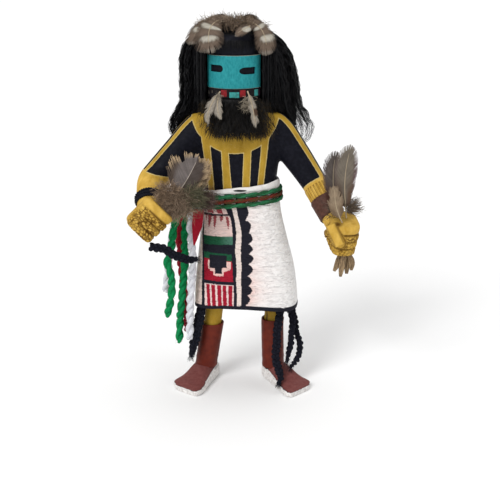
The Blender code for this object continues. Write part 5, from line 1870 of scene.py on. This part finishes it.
def big_hand_paint(along, across, q, sign):
    upper = sign < 0
    base = (0.165, 0.142, 0.135) if upper else (0.070, 0.054, 0.047)
    wave = 0.5 + 0.5 * np.sin(along * 37 + across * 2)
    colours = blend(tones(base, along), wave * 0.35, (0.105, 0.085, 0.078))
    colours = blend(colours, soft_step(across, 0.60, 0.18) * 0.85, (0.065, 0.043, 0.030))
    fringe = soft_step(q, 0.86, 0.08) * soft_step(along, 0.62 if upper else 0.45, 0.10)
    colours = blend(colours, fringe, (0.58, 0.42, 0.25))
    return blend(colours, soft_step(0.36 - along, 0.0, 0.14), (0.085, 0.062, 0.045))


def mottled_paint(along, across, q, sign):
    spots = np.sin(along * 61 + across * 9) * np.sin(across * 11 + along * 17)
    colours = tones((0.36, 0.255, 0.155), along)
    colours = blend(colours, soft_step(spots, 0.10, 0.5) * 0.85, (0.085, 0.052, 0.032))
    return blend(colours, soft_step(q, 0.80, 0.10), (0.50, 0.36, 0.21))


def grey_paint(base, edge, low, edge_side):
    def paint(along, across, q, sign):
        wave = 0.5 + 0.5 * np.sin(along * 30 + across * 4)
        colours = blend(tones(base, along), wave * 0.4, tuple(0.62 * v for v in base))
        colours = blend(colours, soft_step(across, 0.72, 0.3) * (0.75 if sign == edge_side else 0.25), edge)
        return blend(colours, soft_step(0.48 - along, 0.0, 0.25) * soft_step(across, 0.25, 0.4), low)

    return paint


CREST_RIGHT = barred(((0.50, 0.050, 0.95, 0.9), (0.775, 0.060, 0.55, 0.55)))
CREST_LEFT = barred(((0.49, 0.042, 0.85, 0.8), (0.760, 0.060, 0.95, 0.42)))
CREST_BACK = barred(((0.45, 0.05, 0.9, 0.9), (0.72, 0.06, 0.6, 0.6)))


def crest_look(paint, slopes, last):
    return {"outlines": (FAN, FAN), "paint": paint, "slopes": slopes, "last": last}


def chin_look(paint, ragged, splits, unrest):
    look = {"outlines": (SLIM, SLIM), "paint": paint, "slopes": (48, 38, 26, 6), "tips": 0.04}
    return {**look, "ragged": ragged, "splits": splits, "unrest": unrest}


LOOKS = {
    "crest_feather_right": crest_look(CREST_RIGHT, (66, 64, 52, 3), 0.84),
    "crest_feather_right_under": crest_look(CREST_BACK, (66, 60, 48, 4), 0.85),
    "crest_feather_left": crest_look(CREST_LEFT, (66, 64, 52, 3), 0.84),
    "crest_feather_middle": {
        "outlines": (VANE, VANE),
        "paint": barred(((0.62, 0.13, 0.9, 0.3),)),
        "ragged": 0.12,
    },
    "crest_feather_back_right": crest_look(CREST_BACK, (66, 62, 50, 4), 0.85),
    "crest_feather_back_left": crest_look(CREST_BACK, (66, 62, 50, 4), 0.85),
    "chin_feather_right": chin_look(chin_paint, 0.25, 0.16, 6.0),
    "chin_feather_left": chin_look(spotted_chin_paint, 0.22, 0.14, 5.0),
    "hand_feather_right": {
        "outlines": (HAND_UPPER, HAND_LOWER),
        "paint": big_hand_paint,
        "slopes": (56, 52, 44, 6),
        "splits": 0.14,
        "last": 0.90,
        "tips": 0.10,
        "ragged": 0.12,
        "shaft": (0.60, 0.52, 0.45),
        "cup": 0.006,
        "unrest": 3.2,
    },
    "hand_feather_right_under": {
        "outlines": (VANE, VANE),
        "paint": mottled_paint,
        "splits": 0.14,
        "tips": 0.14,
        "ragged": 0.10,
    },
    "hand_feather_left_tall": {
        "outlines": (ROUND, VANE),
        "splits": 0.035,
        "slopes": (46, 42, 34, 4),
        "ragged": 0.04,
        "paint": grey_paint((0.165, 0.140, 0.110), (0.085, 0.030, 0.045), (0.10, 0.062, 0.042), 1.0),
    },
    "hand_feather_left_round": {
        "outlines": (ROUND, ROUND),
        "splits": 0.04,
        "slopes": (48, 44, 36, 4),
        "ragged": 0.05,
        "paint": grey_paint((0.120, 0.100, 0.090), (0.080, 0.058, 0.066), (0.060, 0.022, 0.014), -1.0),
    },
    "hand_feather_left_short": {
        "outlines": (SLIM, SLIM),
        "splits": 0.10,
        "slopes": (44, 36, 26, 4),
        "ragged": 0.15,
        "paint": grey_paint((0.30, 0.225, 0.150), (0.19, 0.13, 0.085), (0.17, 0.115, 0.07), -1.0),
    },
}
DOWN = {
    # place, spread, count, reach, way it leans, colour
    "crest_feather_right": (
        ((-27.0, -3.0, 291.5), (4.0, 4.0, 1.5), 190, 6.0, (-0.7, -0.3, 0.3), (0.3, 0.23, 0.17)),
        ((-16.0, -2.0, 294.0), (6.0, 4.0, 1.2), 420, 7.5, (-0.2, -0.4, 0.6), (0.42, 0.33, 0.25)),
        ((-7.0, -5.0, 292.5), (5.0, 4.0, 1.5), 620, 8.0, (0.0, -0.6, 0.25), (0.215, 0.155, 0.11)),
    ),
    "crest_feather_left": (
        ((4.0, -4.0, 292.0), (6.0, 4.0, 1.5), 620, 8.0, (0.1, -0.6, 0.25), (0.27, 0.195, 0.135)),
        ((15.0, -4.0, 290.5), (4.0, 4.0, 1.3), 200, 5.5, (0.6, -0.4, 0.2), (0.24, 0.175, 0.12)),
    ),
    "crest_feather_middle": (
        ((2.0, -10.0, 290.0), (3.0, 2.0, 0.8), 90, 5.0, (-0.4, -0.6, -0.1), (0.17, 0.125, 0.088)),
    ),
    "crest_feather_back_right": (
        ((-9.0, 13.0, 293.5), (4.0, 5.0, 1.5), 200, 7.0, (-0.2, 0.5, 0.4), (0.145, 0.105, 0.075)),
    ),
    "crest_feather_back_left": (
        ((4.0, 13.0, 293.5), (4.0, 5.0, 1.5), 200, 7.0, (0.3, 0.5, 0.4), (0.145, 0.105, 0.075)),
    ),
    "chin_feather_right": (
        ((-15.5, -29.0, 240.0), (1.2, 0.8, 1.5), 50, 5.0, (0.2, -0.2, -0.6), (0.3, 0.26, 0.21)),
    ),
    "chin_feather_left": (
        ((6.5, -31.0, 235.0), (2.0, 1.0, 3.2), 130, 7.0, (-0.9, 0.0, -0.5), (0.33, 0.28, 0.21)),
    ),
    "hand_feather_right": (
        ((-54.0, -43.0, 166.0), (4.5, 1.5, 5.0), 1250, 9.5, (-0.35, -0.2, 0.05), (0.34, 0.24, 0.16)),
        ((-46.0, -43.5, 160.0), (5.5, 1.8, 5.5), 1550, 11.0, (0.0, -0.2, -0.3), (0.31, 0.225, 0.158)),
        ((-35.0, -42.0, 164.0), (4.0, 1.8, 4.5), 1000, 10.0, (0.3, -0.2, -0.2), (0.15, 0.142, 0.086)),
        ((-51.0, -41.0, 157.0), (3.5, 1.8, 4.5), 900, 8.0, (-0.1, -0.1, -0.5), (0.25, 0.172, 0.112)),
    ),
    "hand_feather_right_under": (
        ((-26.0, -35.0, 161.0), (3.5, 1.5, 4.0), 900, 9.0, (0.4, -0.1, -0.2), (0.15, 0.098, 0.084)),
    ),
    "hand_feather_left_round": (
        ((74.0, -42.0, 155.0), (3.5, 2.0, 4.0), 220, 8.0, (-0.6, 0.0, 0.1), (0.115, 0.088, 0.06)),
    ),
    "hand_feather_left_tall": (
        ((84.0, -43.0, 156.0), (1.6, 1.6, 2.2), 420, 11.5, (2.6, 0.0, 0.9), (0.15, 0.112, 0.08)),
    ),
}


def feather_material():
    g = Graph("feather_barbs", 0.62, Specular_IOR_Level=0.12)
    dark = g.span(g.noise(0.6, 3.0), 0.35, 0.7, 0.0, 0.25)
    return g.finish(g.mix(dark, g.field("paint", "Color"), (0.03, 0.022, 0.016)))


# Boots, cuffs, husk and sash

def boot(side, material):
    facts = LEGS[side]
    line = spline(facts["line"], 12)[::-1]
    keep = np.linspace(11.0, facts["boot_top"], 46)
    middle = np.stack([np.interp(keep, line[:, 2], line[:, k]) for k in range(3)], 1)
    sides = 72
    angle = circle(sides)
    outside = LEG_RADIUS + GAP + BOOT_LEATHER
    rings = []
    for k, point in enumerate(middle):
        crease = 0.16 * math.sin(k * 0.8) * math.exp(-k / 14.0)
        flare = 0.30 * max(0.0, (k - 36) / 10.0) ** 2
        wave = 0.16 * np.sin(angle * 2 + k * 0.05) + 0.10 * np.sin(angle * 5 + 1.0)
        radius = outside - 0.05 + crease + flare + wave * 0.6
        rings.append(level_ring(point, angle, radius, point[2]))
    top = middle[-1]
    tilt = np.sin(angle + 0.8) * 0.5
    for turn in np.linspace(0.25, 1.0, 4) * math.pi:
        radius = outside + 0.30 - BOOT_LEATHER / 2 + math.cos(turn) * BOOT_LEATHER / 2
        lift = math.sin(turn) * 0.7
        rings.append(level_ring(top, angle, radius, top[2] + lift))
    for depth in (2.0, 6.0, 12.0):
        point = middle[-1 - int(depth)]
        radius = LEG_RADIUS + 0.25
        rings.append(level_ring(point, angle, radius, top[2] - depth))
    for ring in rings[-11:-3]:
        ring[:, 2] += tilt * 0.6
    batch = Batch().add(np.array(rings), grid_faces(len(rings), sides, True))
    return mesh_object("boot_leather_" + side, batch, material)


def arm_samples(side, start, end, count):
    rows = arm_rows(side)
    want = np.linspace(start, end, count) * 10
    return np.stack([np.interp(want, np.arange(len(rows)), rows[:, k]) for k in range(4)], 1)


def sleeve(name, side, start, end, gap, thickness, material, count=24, sides=72, flutes=0, depth=0.0):
    """A sleeve round an arm with rounded rims, or with carved flutes."""
    rows = arm_samples(side, start, end, count)
    line = rows[:, :3]
    frame = rolling_frames(line)
    angle = circle(sides)
    rings, inner = [], []
    for i, row in enumerate(rows):
        spoke = np.cos(angle)[:, None] * frame[0][i] + np.sin(angle)[:, None] * frame[1][i]
        inner.append(row[:3] + (row[3] + gap * 0.5) * spoke)
        ease = min(1.0, i / 2.0, (count - 1 - i) / 2.0)
        outside = row[3] + gap + thickness * (0.45 + 0.55 * ease)
        radius = outside + 0.12 * np.sin(angle * 3 + i * 0.15)
        if flutes:
            radius = outside - depth * (0.5 + 0.5 * np.cos(angle * flutes)) ** 2.0 * ease
        rings.append(row[:3] + radius[:, None] * spoke)
    rings = np.array([inner[0], *rings, inner[-1]])
    # painted shade in the flutes' hollows, carried by the field groove
    flute_shade = np.zeros((len(rings), sides))
    if flutes:
        flute_shade[1:-1] = (0.5 + 0.5 * np.cos(angle * flutes)) ** 2.0
    fields = {"groove": flute_shade.ravel() * 0.85, "yellow": np.full(flute_shade.size, 9.0)}
    batch = Batch().add(rings, grid_faces(len(rings), sides, True), **fields)
    return mesh_object(name, batch, material)


def wrist_windings(material, rng):
    """Black yarn wound three times round the right wrist."""
    turns, diameter = 3.0, 2.6
    start, end = 5.64, 6.38
    rows = arm_samples("right", start, end, 220)
    side, up = rolling_frames(rows[:, :3])
    phase = np.linspace(0, 2 * math.pi * turns, 220)
    radius = rows[:, 3] + diameter * 0.26
    line = rows[:, :3] + (side * np.cos(phase)[:, None] + up * np.sin(phase)[:, None]) * radius[:, None]
    batch = twisted_cord(Batch(), line, diameter, 2, 4.0)
    fuzz(batch, line, diameter / 2, 260, rng, 0.5, 0.045)
    return mesh_object("wrist_winding", batch, material)


def strip(name, route, half_width, thickness, material, hint=(0, -1, 0), ribs=5, point=None):
    """A narrow strip with lengthwise ribs, pinched at its ends, or tapering to a point."""
    line = evenly(spline(route, 10), 40)
    _, side, out = frames_along(line, hint)
    share = np.linspace(0, 1, 40)
    half = half_width * (0.45 + 0.55 * np.sin(math.pi * np.minimum(1.0, 0.1 + 0.9 * share)))
    if point:
        half = half_width * np.interp(share, (0, 0.45, 0.8, 1.0), (1.0, 0.95, 0.45, point))
    across = np.concatenate([np.linspace(-1, 1, 15), np.linspace(1, -1, 15)])
    face = np.concatenate([np.ones(15), -np.ones(15)])
    profile = face * thickness / 2 * np.sqrt(np.maximum(0.05, 1 - across**2 * 0.9))
    relief = 0.14 * np.cos(across * math.pi * ribs) + 0.5 * (across**2) * thickness * 0.4
    rings = line[:, None] + side[:, None] * (across[None, :, None] * half[:, None, None])
    rings = rings + out[:, None] * (profile + relief)[None, :, None]
    return mesh_object(name, Batch().rings(rings), material)


def husk_material():
    g = Graph("husk_fibre", 0.6, Specular_IOR_Level=0.3)
    streaks = g.span(g.noise(1.2, 5.0, (2.2, 2.2, 0.25)), 0.35, 0.65)
    colour = g.mix(streaks, (0.36, 0.25, 0.135), (0.085, 0.050, 0.026))
    return g.finish(colour, None, g.bump(g.noise(0.5, 4.0, (2.0, 2.0, 0.3)), 0.2))


# Putting the doll together

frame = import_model()


def own(obj, slot, *nodes):
    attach(obj, "root")
    if nodes:
        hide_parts(*nodes)
    return obj


wood = painted_wood("fist_paint", LIT_YELLOW, LIT_YELLOW_DEEP, 0.34)
own(carved_body(), "black_paint", "figure")
feet = foot_material()
for side in ARMS:
    own(carved_fist(side, wood), "black_paint")
    own(carved_foot(side, feet), "black_paint")

holes = [(angle, above, eye_outline(length, outer, drawn)) for angle, above, length, outer, drawn in EYES]
on_head = HEAD_RADIUS + GAP
mask_paint = mask_material()
mask = plate("cut_mask", on_head, FACE_THICKNESS, FACE_BOTTOM, FACE_HEIGHT, mask_paint, 172, 86, holes)
own(mask, "turquoise_leather", "mask_face")
band_bottom = FACE_BOTTOM - GAP - CHIN_BAND_HEIGHT
band_leather = coloured("chin_band_paint", 0.6, 0.5, 0.08, 0.5, Specular_IOR_Level=0.10)
band = plate(
    "painted_chin_band", on_head, CHIN_BAND_THICKNESS, band_bottom, CHIN_BAND_HEIGHT,
    band_leather, 150, 24, (), band_paint,
)
own(band, "black_leather", "chin_band")

core = Graph("hair_core", 0.7).finish((0.004, 0.004, 0.005))
own(carved_stack("hair_core", HAIR, HAIR_SQUARENESS, 2.4, core, hair_core_ring), "hair", "hair")
beard_rows = ((210.5, 0.3, -18.8, 16.5, 8.6), *BEARD[2:])
own(carved_stack("beard_core", beard_rows, BEARD_SQUARENESS, 5.0, core), "hair", "beard")

rng = np.random.default_rng(7)
black_hair = hair_material("black_hair", (0.003, 0.0033, 0.0045), (0.013, 0.012, 0.013))
for name, half_width, *layer in HAIR_LAYERS:
    own(strands(name, hair_lines(rng, *layer), half_width, black_hair, rng), "hair")
own(strands("forehead_hair", forehead_lines(rng, 1300), 0.15, black_hair, rng), "hair")

beard_hair = hair_material("beard_hair", (0.0045, 0.004, 0.004), (0.016, 0.010, 0.005), BEARD_TIP)
lines, edge = beard_fur(rng, 5600, 6)
shade = 0.25 * rng.uniform(0, 1, len(edge)) + 0.75 * edge
own(strands("beard_strands", lines, 0.13, beard_hair, rng, shade), "hair")

skirt = own(kilt(), "white_leather", "kilt")
white_leather = leather("waist_leather", (0.80, 0.78, 0.76), (0.55, 0.50, 0.48), 0.8, 0.16, 0.7, 3.0, 0.5)
own(waist_roll(white_leather), "white_leather")

fibres = {name: fibre_material(name + "_fibre", *pair) for name, pair in FIBRES.items()}
black = fibres["black_yarn"]
middle = KILT[0][0] - BELT_BELOW_WAIST
for number, (row, *chosen) in enumerate(BELT_ROWS):
    materials = [fibres[fibre] for fibre in chosen]
    plies = belt_row("belt_" + row + "_yarn", middle + (1 - number) * (BELT_YARN + GAP), materials, rng)
    own(plies[0], "red_yarn" if number == 1 else "green_yarn", "belt_" + row)
    own(plies[1], "green_yarn")

shaft = leather("boot_leather", (0.150, 0.022, 0.011), (0.095, 0.013, 0.008), 0.5, 0.06, 0.5, 5.0)
for side in ARMS:
    own(boot(side, shaft), "brown_leather", "boot_shaft_" + side)
guard_leather = leather("guard_leather", (0.060, 0.026, 0.018), (0.105, 0.045, 0.032), 0.6, 0.10, 0.55, 2.5)
own(sleeve("bow_guard_leather", "left", 5.10, 6.45, 0.2, 1.1, guard_leather), "brown_leather", "bow_guard")
own(sleeve("fluted_band", "left", 4.25, 5.12, 0.0, 0.55, wood, 20, 264, 24, 0.75), "black_paint")
own(wrist_windings(black, rng), "black_yarn", "wrist_yarn")

for name, route in HIP_YARNS.items():
    line = evenly(spline(route, 12), 170)
    tone = name.split("_")[0]
    colour = fibres["bright_red" if tone == "red" else tone + "_yarn"]
    obj = mesh_object("yarn_" + name, twisted_cord(Batch(), line, HIP_YARN, 2, 17.0), colour)
    loose = mesh_object("yarn_" + name + "_fuzz", fuzz(Batch(), line, HIP_YARN / 2, 650, rng, 0.9), colour)
    declared_cord(obj, "hip_yarn_" + name, tone + "_yarn", loose)
for name, route in BRAIDS.items():
    line = evenly(spline(route, 14), 150)
    fullness = 0.78 if name in THIN_BRAIDS else 1.0
    obj = mesh_object("woven_" + name, braided_cord(Batch(), line, BRAID, 11.0, fullness), black)
    loose = frayed_end(fuzz(Batch(), line, BRAID / 2, 380, rng, 0.8), line, BRAID, 60, 4.5, rng)
    loose = mesh_object("woven_" + name + "_fuzz", loose, black)
    declared_cord(obj, name, "black_yarn", loose)

barbs = feather_material()
for name, (face, blades) in FEATHERS.items():
    batch = Batch()
    for route, half_width, bare in blades:
        feather_batch(batch, route, face, half_width, bare, LOOKS[name], rng)
    for facts in DOWN.get(name, ()):
        down(batch, *facts, rng)
    slot = "feather_pale" if name.startswith("chin") else "feather_brown"
    own(mesh_object(name + "_barbs", batch, barbs), slot, name)

husk = husk_material()
for name, (route, half_width) in HUSK_STRIPS.items():
    own(strip(name + "_fibre", route, half_width, 1.2, husk), "husk", name)
sash_cloth = leather("sash_cloth", (0.36, 0.008, 0.025), (0.24, 0.006, 0.016), 0.35, 0.08, 0.85, 2.0)
sash_half, sash_thick = RED_SASH_WIDTH / 2, KILT_THICKNESS * 0.7
sash = strip("red_sash_cloth", RED_SASH, sash_half, sash_thick, sash_cloth, ribs=2, point=0.12)
own(sash, "red_yarn", "red_sash_end")


# Floor, light and camera

# these are in metres, and the angles in degrees
FLOOR_HALF = 12.0
FLOOR_DROP = 0.0002
DOLL_MIDDLE = Vector((0, 0, 0.14))
LIGHTS = (
    # name, place, how wide the light is, its strength
    ("key", (-0.60, -0.85, 1.00), 26.0, 1.75),
    ("fill", (0.95, -0.70, 0.60), 50.0, 0.40),
    ("top", (0.10, 0.25, 1.30), 55.0, 0.85),
)
SKY_STRENGTH = 0.50
CAMERA_PLACE = (0.00495, -0.93404, 0.38082)
CAMERA_PITCH = 74.0
LENS = 87.12


def stage():
    """A plain pale floor, soft lights and the camera at the photograph's angle."""
    floor_mesh = bpy.data.meshes.new("floor")
    half = FLOOR_HALF
    corners = [(-half, -half, 0), (half, -half, 0), (half, half, 0), (-half, half, 0)]
    floor_mesh.from_pydata(corners, [], [(0, 1, 2, 3)])
    floor_mesh.materials.append(Graph("floor_paper", 0.9).finish((0.93, 0.93, 0.93)))
    floor = bpy.data.objects.new("floor", floor_mesh)
    bpy.context.scene.collection.objects.link(floor)
    floor.location.z = -FLOOR_DROP
    for name, place, spread, power in LIGHTS:
        light = bpy.data.lights.new(name, "SUN")
        light.angle = math.radians(spread)
        light.energy = power
        lamp = bpy.data.objects.new(name, light)
        lamp.location = place
        lamp.rotation_euler = (DOLL_MIDDLE - Vector(place)).to_track_quat("-Z", "Y").to_euler()
        bpy.context.scene.collection.objects.link(lamp)
    world = bpy.data.worlds.new("studio")
    world.use_nodes = True
    sky = world.node_tree.nodes["Background"].inputs
    sky["Color"].default_value = (1.0, 1.0, 1.0, 1.0)
    sky["Strength"].default_value = SKY_STRENGTH
    bpy.context.scene.world = world
    camera = bpy.data.objects.new("camera", bpy.data.cameras.new("camera"))
    camera.data.sensor_width = 36.0
    camera.data.lens = LENS
    camera.data.clip_start = 0.05
    camera.location = CAMERA_PLACE
    camera.rotation_euler = (math.radians(CAMERA_PITCH), 0.0, 0.0)
    bpy.context.scene.collection.objects.link(camera)
    bpy.context.scene.camera = camera
    bpy.context.scene.view_settings.view_transform = "Standard"


stage()
